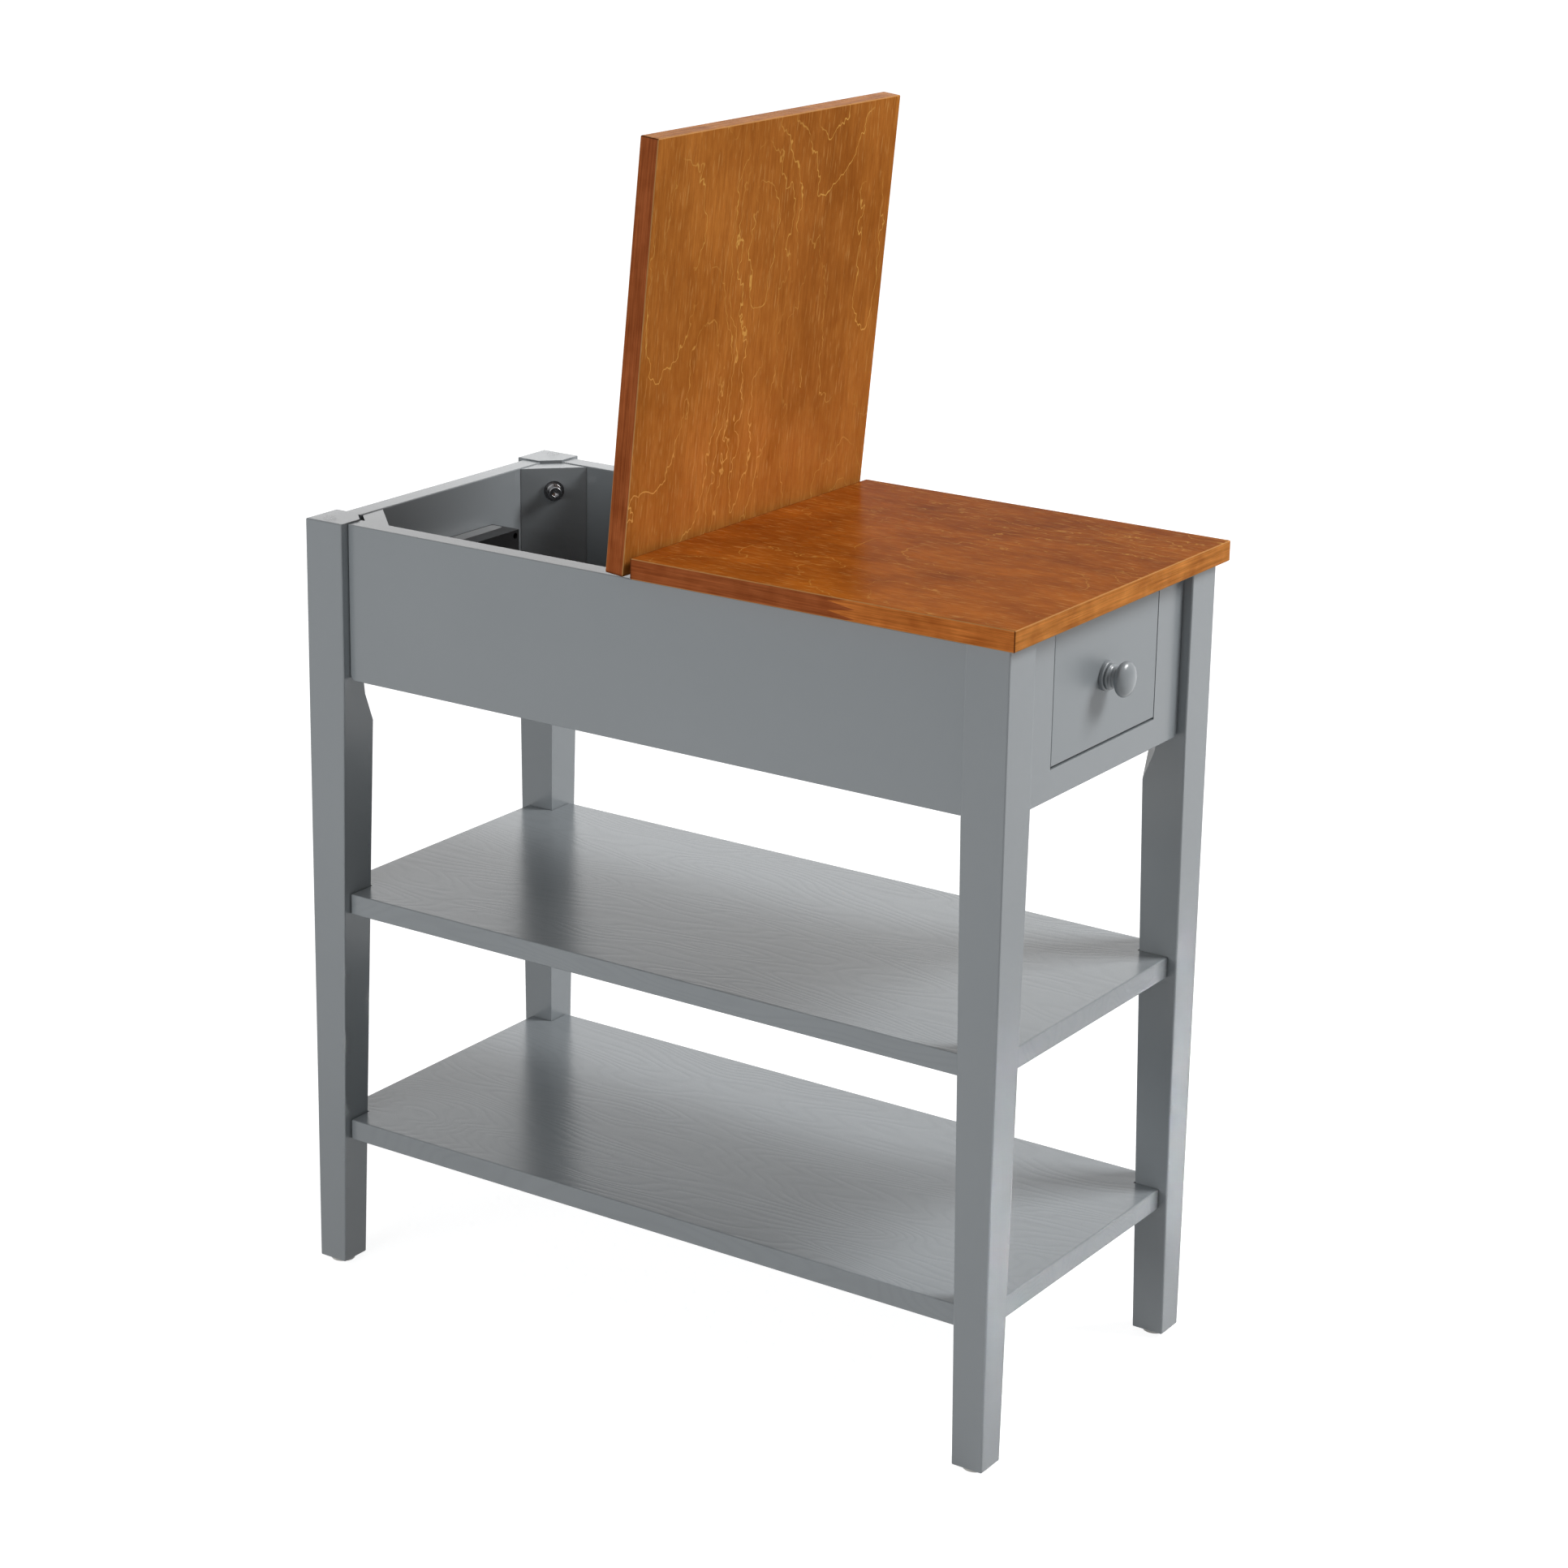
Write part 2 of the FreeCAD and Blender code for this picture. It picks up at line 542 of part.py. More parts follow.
leg_holes = []
for height_name, height in (("upper", UPPER_BOLT_Z), ("lower", LOWER_BOLT_Z)):
    name = f"{height_name}_insert_hole"
    depth = "insert_length + hole_depth_spare"
    leg_holes.append(diagonal_rod(name, "insert_radius + snug", "0", depth, height, -1, -1, -1))
for shelf, top in SHELVES:
    name = f"{shelf}_leg_bolt_hole"
    leg_holes.append(cam_bolt(name, "cam_bolt_radius + snug", top, -1, -1, "hole_depth_spare"))
rear_blank = leg_blank("rear_leg_blank", FRAME_TOP)
rear_left = keep(cut("leg_rear_left", rear_blank, leg_holes), "leg_rear_left")
keep(mirror("leg_rear_right", rear_left, RIGHTWARD), "leg_rear_right")
front_blank = leg_blank("front_leg_blank", PANEL_UNDER)
front_model = cut("front_leg_model", front_blank, leg_holes)
front_left = keep(mirror("leg_front_left", front_model, FORWARD), "leg_front_left")
keep(mirror("leg_front_right", front_left, RIGHTWARD), "leg_front_right")

glides = []
for end_name, end, side_name, side in CORNERS:
    place = corner_place(end, side, "leg_foot / 2", "leg_foot / 2")
    glides.append(rod(f"glide_{end_name}_{side_name}", "glide_radius", "glide_height", (*place, "0")))
keep(group("foot_glides_set", glides), "foot_glides")

# ---------------------------------------------------------------- aprons
# Four boards between the legs, set back from the legs' faces.

side_apron_half = f"({FOOT_X} - leg_section - apron_gap)"
end_apron_half = f"({FOOT_Y} - leg_section - apron_gap)"
bracket_places = (("front", f"({FOOT_X} - leg_section - bracket_front)"),
                  ("rear", f"({DIVIDER_FRONT} + bracket_rear)"))
bracket_screw_z = f"({PANEL_UNDER} - (bracket_leaf + bracket_steel) / 2)"


def apron(name, corners):
    """A board on edge with rounded lower corners and softened long edges."""
    board = prism(f"{name}_blank", corners, APRON_BOTTOM, "apron_height")
    soften(board, "apron_corner", lower_corner)
    return soften(board, "apron_arris", long_arris)


for side_name, sign, outward in SIDES:
    outer_y = f"{sign}({FOOT_Y} - apron_inset)"
    inner_y = f"{sign}{INSIDE_Y}"
    ends = (f"-{side_apron_half}", side_apron_half)
    corners = [(ends[0], outer_y), (ends[1], outer_y), (ends[1], inner_y), (ends[0], inner_y)]
    board = apron(f"side_apron_{side_name}", corners)
    holes = []
    for place_name, place in bracket_places:
        start = (place, inner_y, bracket_screw_z)
        holes.append(screw_hole(f"{side_name}_{place_name}_apron_pilot", "screw_bite", start, outward))
    keep(cut(f"side_apron_{side_name}_drilled", board, holes), f"side_apron_{side_name}")

front_outer = f"({FOOT_X} - apron_inset)"
front_board = apron("front_apron", rectangle(INSIDE_X, f"-{end_apron_half}", front_outer, end_apron_half))
opening_size = ("3 * apron_thickness", f"2 * {OPENING_HALF}", "apron_height")
opening_corner = (f"{INSIDE_X} - apron_thickness", f"-{OPENING_HALF}", f"{APRON_BOTTOM} + front_rail")
drawer_opening = box("drawer_opening", opening_size, opening_corner)
keep(cut("front_apron_open", front_board, [drawer_opening]), "front_apron")

# The rear apron carries the power unit: a cut-out, four pilot holes inside and two outside.
housing_bottom = f"({FRAME_TOP} - housing_drop - housing_height)"
unit_z = f"({housing_bottom} + housing_height / 2)"
rear_outer = f"-({FOOT_X} - apron_inset)"
post_places = []
for level_name, level in (("lower", f"{housing_bottom} + housing_hole_inset"),
                          ("upper", f"{housing_bottom} + housing_height - housing_hole_inset")):
    for side_name, sign, outward in SIDES:
        across = f"{sign}(housing_width / 2 - housing_hole_inset)"
        post_places.append((f"{level_name}_{side_name}", across, level))
bezel_screw_y = "((bezel_width + cutout_width) / 4)"

rear_corners = rectangle(rear_outer, f"-{end_apron_half}", f"-{INSIDE_X}", end_apron_half)
rear_board = apron("rear_apron", rear_corners)
cutout_size = ("3 * apron_thickness", "cutout_width", "cutout_height")
cutout_corner = (f"{rear_outer} - apron_thickness", "-cutout_width / 2", f"{unit_z} - cutout_height / 2")
rear_tools = [box("power_cutout", cutout_size, cutout_corner)]
for name, across, level in post_places:
    start = (f"-{INSIDE_X}", across, level)
    depth = "screw_bite + hole_depth_spare"
    rear_tools.append(rod(f"housing_pilot_{name}", "housing_screw_radius + snug", depth, start, REARWARD))
for side_name, sign, outward in SIDES:
    start = (rear_outer, f"{sign}{bezel_screw_y}", unit_z)
    rear_tools.append(screw_hole(f"bezel_pilot_{side_name}", "screw_bite", start, FORWARD))
keep(cut("rear_apron_drilled", rear_board, rear_tools), "rear_apron")

# ---------------------------------------------------------------- corner blocks and their bolts
# A mitred block glued across each corner.  Two bolts pull the leg's flat towards it.

bolts = []
flat_washers = []
spring_washers = []
inserts = []
for end_name, end, side_name, side in CORNERS:
    corner_name = f"{end_name}_{side_name}"
    edge = f"({APRON_BACK} + block_fit)"
    far_reach = f"(2 * {diagonal(BLOCK_FACE)} - {edge})"
    near_reach = f"(2 * {diagonal('block_gap')} - {edge})"
    corners = [corner_place(end, side, u, v)
               for u, v in ((far_reach, edge), (edge, far_reach), (edge, near_reach), (near_reach, edge))]
    block_bottom = f"({APRON_TOP} - block_drop - block_height)"
    block = prism(f"{corner_name}_block", corners, block_bottom, "block_height")
    holes = []
    for level_name, level in (("upper", UPPER_BOLT_Z), ("lower", LOWER_BOLT_Z)):
        name = f"{corner_name}_{level_name}"
        length = f"{BLOCK_FACE} + 1"
        holes.append(diagonal_rod(f"{name}_bolt_hole", "bolt_hole_radius", "0", length, level, end, side))

        flat = diagonal_rod(f"{name}_flat_disc", "washer_radius", BLOCK_FACE, "washer_thickness",
                            level, end, side)
        spring_start = f"{BLOCK_FACE} + washer_thickness"
        spring = diagonal_rod(f"{name}_spring_disc", "spring_washer_radius", spring_start,
                              "washer_thickness", level, end, side)
        slit = box(f"{name}_slit", ("washer_radius", "spring_washer_slit", "3 * washer_thickness"),
                   ("0", "0", "0"))
        slit_x, slit_y = corner_place(end, side, diagonal(BLOCK_FACE), diagonal(BLOCK_FACE))
        at(slit, slit_x, slit_y, level, inward(end, side))
        for label, disc, tools, discs in (("flat", flat, [], flat_washers),
                                          ("spring", spring, [slit], spring_washers)):
            hole = diagonal_rod(f"{name}_{label}_hole", "washer_hole_radius", BLOCK_FACE,
                                "4 * washer_thickness", level, end, side)
            discs.append(cut(f"{name}_{label}_washer", disc, [hole, *tools]))

        under_head = f"{BLOCK_FACE} + 2 * washer_thickness"
        shank = diagonal_rod(f"{name}_shank", "bolt_radius", under_head, "bolt_length", level, end, side, -1)
        head = diagonal_rod(f"{name}_head", "bolt_head_radius", under_head, "bolt_head_height",
                            level, end, side)
        socket = doc.addObject("Part::Prism", f"{name}_socket")
        socket.Polygon = 6
        bind(socket, "Circumradius", "bolt_socket_radius")
        bind(socket, "Height", "2 * bolt_socket_depth")
        socket_start = diagonal(f"{under_head} + bolt_head_height - bolt_socket_depth")
        at(socket, *corner_place(end, side, socket_start, socket_start), level, inward(end, side))
        bolts.append(cut(f"{name}_bolt", fuse(f"{name}_bolt_blank", [shank, head]), [socket]))

        tube = diagonal_rod(f"{name}_tube", "insert_radius", "0", "insert_length", level, end, side, -1)
        bore = diagonal_rod(f"{name}_bore", "bolt_radius + snug", "0", "insert_length", level, end, side, -1)
        inserts.append(cut(f"{name}_insert", tube, [bore]))
    keep(cut(f"{corner_name}_block_drilled", block, holes), f"corner_block_{corner_name}")
keep(group("bolt_set", bolts), "corner_bolts")
keep(group("flat_washer_set", flat_washers), "flat_washers")
keep(group("spring_washer_set", spring_washers), "spring_washers")
keep(group("insert_set", inserts), "leg_inserts")

# ---------------------------------------------------------------- shelves
# Boards notched round the legs and pulled to them by connecting bolts and cams in their undersides.

cams = []
cam_bolts = []
for shelf, top in SHELVES:
    long_edge = f"({FOOT_X} - shelf_inset)"
    short_edge = f"({FOOT_Y} - shelf_inset)"
    notch_x = f"({FOOT_X} - {notch(top)})"
    notch_y = f"({FOOT_Y} - {notch(top)})"
    corners = [
        (f"-{notch_x}", f"-{short_edge}"), (notch_x, f"-{short_edge}"), (notch_x, f"-{notch_y}"),
        (long_edge, f"-{notch_y}"), (long_edge, notch_y), (notch_x, notch_y),
        (notch_x, short_edge), (f"-{notch_x}", short_edge), (f"-{notch_x}", notch_y),
        (f"-{long_edge}", notch_y), (f"-{long_edge}", f"-{notch_y}"), (f"-{notch_x}", f"-{notch_y}"),
    ]
    underside = f"({top} - shelf_thickness)"
    board = prism(f"{shelf}_shelf_blank", corners, underside, "shelf_thickness")
    soften(board, "shelf_arris", outer_arris)
    tools = []
    for end_name, end, side_name, side in CORNERS:
        name = f"{shelf}_{end_name}_{side_name}"
        x, y = corner_place(end, side, f"({notch(top)} + cam_setback)", "cam_inset")
        depth = "cam_height + hole_depth_spare"
        tools.append(rod(f"{name}_cam_pocket", "cam_radius + snug", depth, (x, y, underside)))
        tools.append(cam_bolt(f"{name}_shelf_bore", "cam_slot_radius", top, end, side))
        slot = cam_bolt(f"{name}_cam_slot", "cam_slot_radius", top, end, side, "0")
        bind(slot, "Height", f"2 * cam_setback + 2 * cam_bolt_reach")
        cam = rod(f"{name}_cam_disc", "cam_radius", "cam_height", (x, y, underside))
        cams.append(cut(f"{name}_cam", cam, [slot]))
        cam_bolts.append(cam_bolt(f"{name}_bolt", "cam_bolt_radius", top, end, side))
    keep(cut(f"{shelf}_shelf_drilled", board, tools), f"{shelf}_shelf")
keep(group("cam_set", cams), "shelf_cams")
keep(group("cam_bolt_set", cam_bolts), "shelf_cam_bolts")

# ---------------------------------------------------------------- compartment
# A divider under the seam, and a thin bottom on glued cleats behind it.

divider_half = f"({INSIDE_Y} - panel_fit)"
hinge_z = f"({PANEL_UNDER} + hinge_rise)"
arm_plate_z = f"({hinge_z} - arm_under - arm_plate_length / 2)"
arm_screw_places = []
for side_name, sign, outward in SIDES:
    for level_name, level_sign in (("lower", "-"), ("upper", "+")):
        level = f"{arm_plate_z} {level_sign} arm_screw_spacing / 2"
        arm_screw_places.append((f"arm_{side_name}_{level_name}", f"{sign}{HINGE_Y}", level))

divider_size = ("divider_thickness", f"2 * {divider_half}", "divider_height")
divider_board = box("divider_blank", divider_size, (DIVIDER_BACK, f"-{divider_half}", DIVIDER_BOTTOM))
divider_holes = [screw_hole(f"{name}_pilot", "screw_bite", (DIVIDER_BACK, across, level), FORWARD)
                 for name, across, level in arm_screw_places]
keep(cut("divider_drilled", divider_board, divider_holes), "compartment_divider")

divider_cleats = []
bottom_cleats = []
bottom_front = f"({DIVIDER_BACK} - panel_fit)"
divider_cleat_z = f"{DIVIDER_BOTTOM} + (divider_height - divider_cleat_height) / 2"
for side_name, side in (("left", -1), ("right", 1)):
    inner = f"{side} * ({INSIDE_Y} - cleat_width / 2) - cleat_width / 2"
    upright = ("cleat_width", "cleat_width", "divider_cleat_height")
    upright_foot = (DIVIDER_FRONT, inner, divider_cleat_z)
    divider_cleats.append(box(f"divider_cleat_{side_name}", upright, upright_foot))
    strip_rear = f"(bottom_cleat_setback - {INSIDE_X})"
    level_strip = (f"{bottom_front} - {strip_rear}", "cleat_width", "bottom_cleat_height")
    start = (strip_rear, inner, f"{APRON_BOTTOM} + bottom_lift")
    bottom_cleats.append(box(f"bottom_cleat_{side_name}", level_strip, start))
keep(group("divider_cleat_set", divider_cleats), "divider_cleats")
keep(group("bottom_cleat_set", bottom_cleats), "bottom_cleats")

bottom_rear = f"({INSIDE_X} - panel_fit)"
bottom_under = f"({APRON_BOTTOM} + bottom_lift + bottom_cleat_height)"
corners = [(bottom_front, f"-{divider_half}"), (bottom_front, divider_half),
           (f"bottom_corner - {bottom_rear}", divider_half),
           (f"-{bottom_rear}", f"{divider_half} - bottom_corner"),
           (f"-{bottom_rear}", f"bottom_corner - {divider_half}"),
           (f"bottom_corner - {bottom_rear}", f"-{divider_half}")]
bottom_board = prism("compartment_bottom_blank", corners, bottom_under, "bottom_thickness")
cord_hole = (f"cord_hole_setback - {INSIDE_X}", "-cord_hole_out", bottom_under)
cord_bore = rod("cord_hole", "cord_hole_radius", "bottom_thickness", cord_hole)
keep(cut("compartment_bottom_drilled", bottom_board, [cord_bore]), "compartment_bottom")

grommet_neck = rod("grommet_neck", "cord_hole_radius - grommet_play", "bottom_thickness", cord_hole)
lip_start = (*cord_hole[:2], f"{bottom_under} + bottom_thickness")
grommet_lip = rod("grommet_lip_disc", "cord_hole_radius + grommet_lip", "grommet_lip_thickness", lip_start)
grommet_hole = rod("grommet_hole", "grommet_bore", "2 * bottom_thickness", cord_hole)
grommet = fuse("grommet_blank", [grommet_neck, grommet_lip])
keep(cut("grommet_open", grommet, [grommet_hole]), "cord_grommet")

# ---------------------------------------------------------------- power unit
# A socket body behind an outer plate, through the rear apron, under a screwed inner housing.

housing_size = ("housing_depth", "housing_width", "housing_height")
housing_corner = (f"-{INSIDE_X}", "-housing_width / 2", housing_bottom)
housing_outer = box("housing_outer", housing_size, housing_corner)
hollow_size = ("housing_depth - housing_wall", "housing_width - 2 * housing_wall",
               "housing_height - 2 * housing_wall")
hollow_corner = (f"-{INSIDE_X}", "housing_wall - housing_width / 2", f"{housing_bottom} + housing_wall")
housing_shell = cut("housing_shell", housing_outer, [box("housing_hollow", hollow_size, hollow_corner)])
posts = []
post_holes = []
housing_screws = []
for name, across, level in post_places:
    post_size = ("housing_depth", "housing_post", "housing_post")
    posts.append(box(f"post_{name}", post_size,
                     (f"-{INSIDE_X}", f"{across} - housing_post / 2", f"{level} - housing_post / 2")))
    seat = (f"housing_web - {INSIDE_X}", across, level)
    post_holes.append(rod(f"post_way_{name}", "housing_hole_radius", "housing_depth", seat, FORWARD))
    post_holes.append(rod(f"post_bore_{name}", "housing_screw_radius + snug", "housing_web", seat, REARWARD))
    shank = rod(f"housing_shank_{name}", "housing_screw_radius", "housing_web + screw_bite", seat, REARWARD)
    head = rod(f"housing_head_{name}", "housing_screw_head_radius", "screw_head_height", seat, FORWARD)
    housing_screws.append(fuse(f"housing_screw_{name}", [shank, head]))
gland_start = (f"housing_depth / 2 - {INSIDE_X}", "housing_wall - housing_width / 2", unit_z)
gland_hole = rod("gland_hole", "gland_neck + snug", "housing_wall", gland_start, LEFTWARD)
housing = fuse("housing_with_posts", [housing_shell, *posts])
keep(cut("housing_drilled", housing, [*post_holes, gland_hole]), "power_housing")
keep(group("housing_screw_set", housing_screws), "housing_screws")

gland_neck = rod("gland_neck_tube", "gland_neck", "housing_wall + gland_length", gland_start, LEFTWARD)
collar_start = (gland_start[0], "-housing_width / 2", unit_z)
gland_collar = rod("gland_collar", "gland_radius", "gland_length", collar_start, LEFTWARD)
gland_way = rod("gland_way", "gland_bore", "2 * gland_length", gland_start, LEFTWARD)
keep(cut("gland_open", fuse("gland_blank", [gland_neck, gland_collar]), [gland_way]), "cord_gland")

plate_outer = f"({rear_outer} - bezel_thickness)"
corners = [(rear_outer, "-bezel_width / 2"), (rear_outer, "bezel_width / 2"),
           (plate_outer, "bezel_width / 2"), (plate_outer, "-bezel_width / 2")]
bezel_blank = prism("bezel_blank", corners, f"{unit_z} - bezel_height / 2", "bezel_height")
soften(bezel_blank, "bezel_corner", lambda edge, bounds: along(edge, FORWARD))
window_size = ("3 * bezel_thickness", "core_width + 2 * snug", "core_height + 2 * snug")
window_corner = (f"{plate_outer} - bezel_thickness", "-core_width / 2 - snug",
                 f"{unit_z} - core_height / 2 - snug")
bezel_tools = [box("bezel_window", window_size, window_corner)]
bezel_screws = []
for side_name, sign, outward in SIDES:
    start = (plate_outer, f"{sign}{bezel_screw_y}", unit_z)
    bezel_tools.append(screw_hole(f"bezel_hole_{side_name}", "bezel_thickness", start, FORWARD))
    bezel_screws.append(screw(f"bezel_screw_{side_name}", "bezel_thickness + screw_bite", start, FORWARD))
keep(cut("bezel_open", bezel_blank, bezel_tools), "power_bezel")
keep(group("bezel_screw_set", bezel_screws), "bezel_screws")

core_corner = (plate_outer, "-core_width / 2", f"{unit_z} - core_height / 2")
core_blank = box("core_blank", ("core_depth", "core_width", "core_height"), core_corner)
core_tools = []
for socket_name, sign in (("near", "-"), ("far", "+")):
    socket_y = f"(socket_offset {sign} socket_spacing / 2)"
    for blade_name, blade_sign in (("near", "-"), ("far", "+")):
        blade_corner = (plate_outer, f"{socket_y} {blade_sign} blade_spacing / 2 - blade_width / 2",
                        f"{unit_z} + blade_rise - blade_height / 2")
        core_tools.append(box(f"{socket_name}_{blade_name}_slot",
                              ("socket_depth", "blade_width", "blade_height"), blade_corner))
    earth = (plate_outer, socket_y, f"{unit_z} + blade_rise - earth_drop")
    core_tools.append(rod(f"{socket_name}_earth", "earth_radius", "socket_depth", earth, FORWARD))
tongues = []
for port_name, sign in (("near", "-"), ("far", "+")):
    port_y = f"(usb_offset {sign} usb_spacing / 2)"
    core_tools.append(box(f"{port_name}_port", ("usb_depth", "usb_width", "usb_height"),
                          (plate_outer, f"{port_y} - usb_width / 2", f"{unit_z} - usb_height / 2")))
    tongues.append(box(f"{port_name}_tongue", ("usb_depth - tongue_recess", "tongue_width", "tongue_height"),
                       (f"{plate_outer} + tongue_recess", f"{port_y} - tongue_width / 2",
                        f"{unit_z} - tongue_height / 2")))
keep(cut("core_open", core_blank, core_tools), "socket_body")
keep(group("tongue_set", tongues), "usb_tongues")

# ---------------------------------------------------------------- fixed top and its brackets
# A panel over the drawer, carried just above the frame by four angle brackets.

top_front = f"({FOOT_X} + overhang)"
fixed_blank = prism("fixed_top_blank", rectangle(SEAM_X, "-top_width / 2", top_front, "top_width / 2"),
                    PANEL_UNDER, "panel_thickness")
soften(fixed_blank, "panel_arris", anywhere)
fixed_holes = []
brackets = []
bracket_screws = []
for side_name, side, outward in (("left", -1, LEFTWARD), ("right", 1, RIGHTWARD)):
    for place_name, place in bracket_places:
        name = f"{place_name}_{side_name}"
        low_x = f"{place} - bracket_width / 2"
        upright_y = f"{side} * ({INSIDE_Y} - bracket_steel / 2) - bracket_steel / 2"
        upright = box(f"{name}_upright", ("bracket_width", "bracket_steel", "bracket_leaf"),
                      (low_x, upright_y, f"{PANEL_UNDER} - bracket_leaf"))
        level_y = f"{side} * ({INSIDE_Y} - bracket_leaf / 2) - bracket_leaf / 2"
        level = box(f"{name}_level", ("bracket_width", "bracket_leaf", "bracket_steel"),
                    (low_x, level_y, f"{PANEL_UNDER} - bracket_steel"))
        into_side = (place, f"{side} * ({INSIDE_Y} - bracket_steel)", bracket_screw_z)
        into_top = (place, f"{side} * ({INSIDE_Y} - (bracket_leaf + bracket_steel) / 2)",
                    f"{PANEL_UNDER} - bracket_steel")
        holes = [screw_hole(f"{name}_side_hole", "bracket_steel", into_side, outward),
                 screw_hole(f"{name}_top_hole", "bracket_steel", into_top, UP)]
        brackets.append(cut(f"{name}_bracket", fuse(f"{name}_angle", [upright, level]), holes))
        length = "bracket_steel + screw_bite"
        bracket_screws.append(screw(f"{name}_side_screw", f"{length} - hole_depth_spare", into_side, outward))
        bracket_screws.append(screw(f"{name}_top_screw", f"{length} - hole_depth_spare", into_top, UP))
        fixed_holes.append(screw_hole(f"{name}_top_pilot", "screw_bite", (*into_top[:2], PANEL_UNDER), UP))
keep(cut("fixed_top_drilled", fixed_blank, fixed_holes), "fixed_top")
keep(group("bracket_set", brackets), "top_brackets")
keep(group("bracket_screw_set", bracket_screws), "bracket_screws")

# ---------------------------------------------------------------- lid and its hinges
# Built closed about the hinge pin as origin, then turned open about it.

lid_end = "(hinge_setback - seam_gap)"
lid_length = "(top_length - fixed_top_length - seam_gap)"
lid_under = "-hinge_rise"
cup_x = f"({lid_end} - cup_edge - cup_radius)"


def on_hinge(piece):
    """Move a piece from the pin's own origin to the pin's place."""
    bind(piece, "Placement.Base.x", f"{SEAM_X} - hinge_setback - {MIDDLE}")
    bind(piece, "Placement.Base.z", hinge_z)
    return piece


def on_lid(piece):
    """Put a piece built about the pin on the open lid."""
    piece.Placement = FreeCAD.Placement(Vector(), Rotation(Vector(0, 1, 0), 90))
    bind(piece, "Placement.Rotation.Angle", "open_angle")
    return on_hinge(piece)


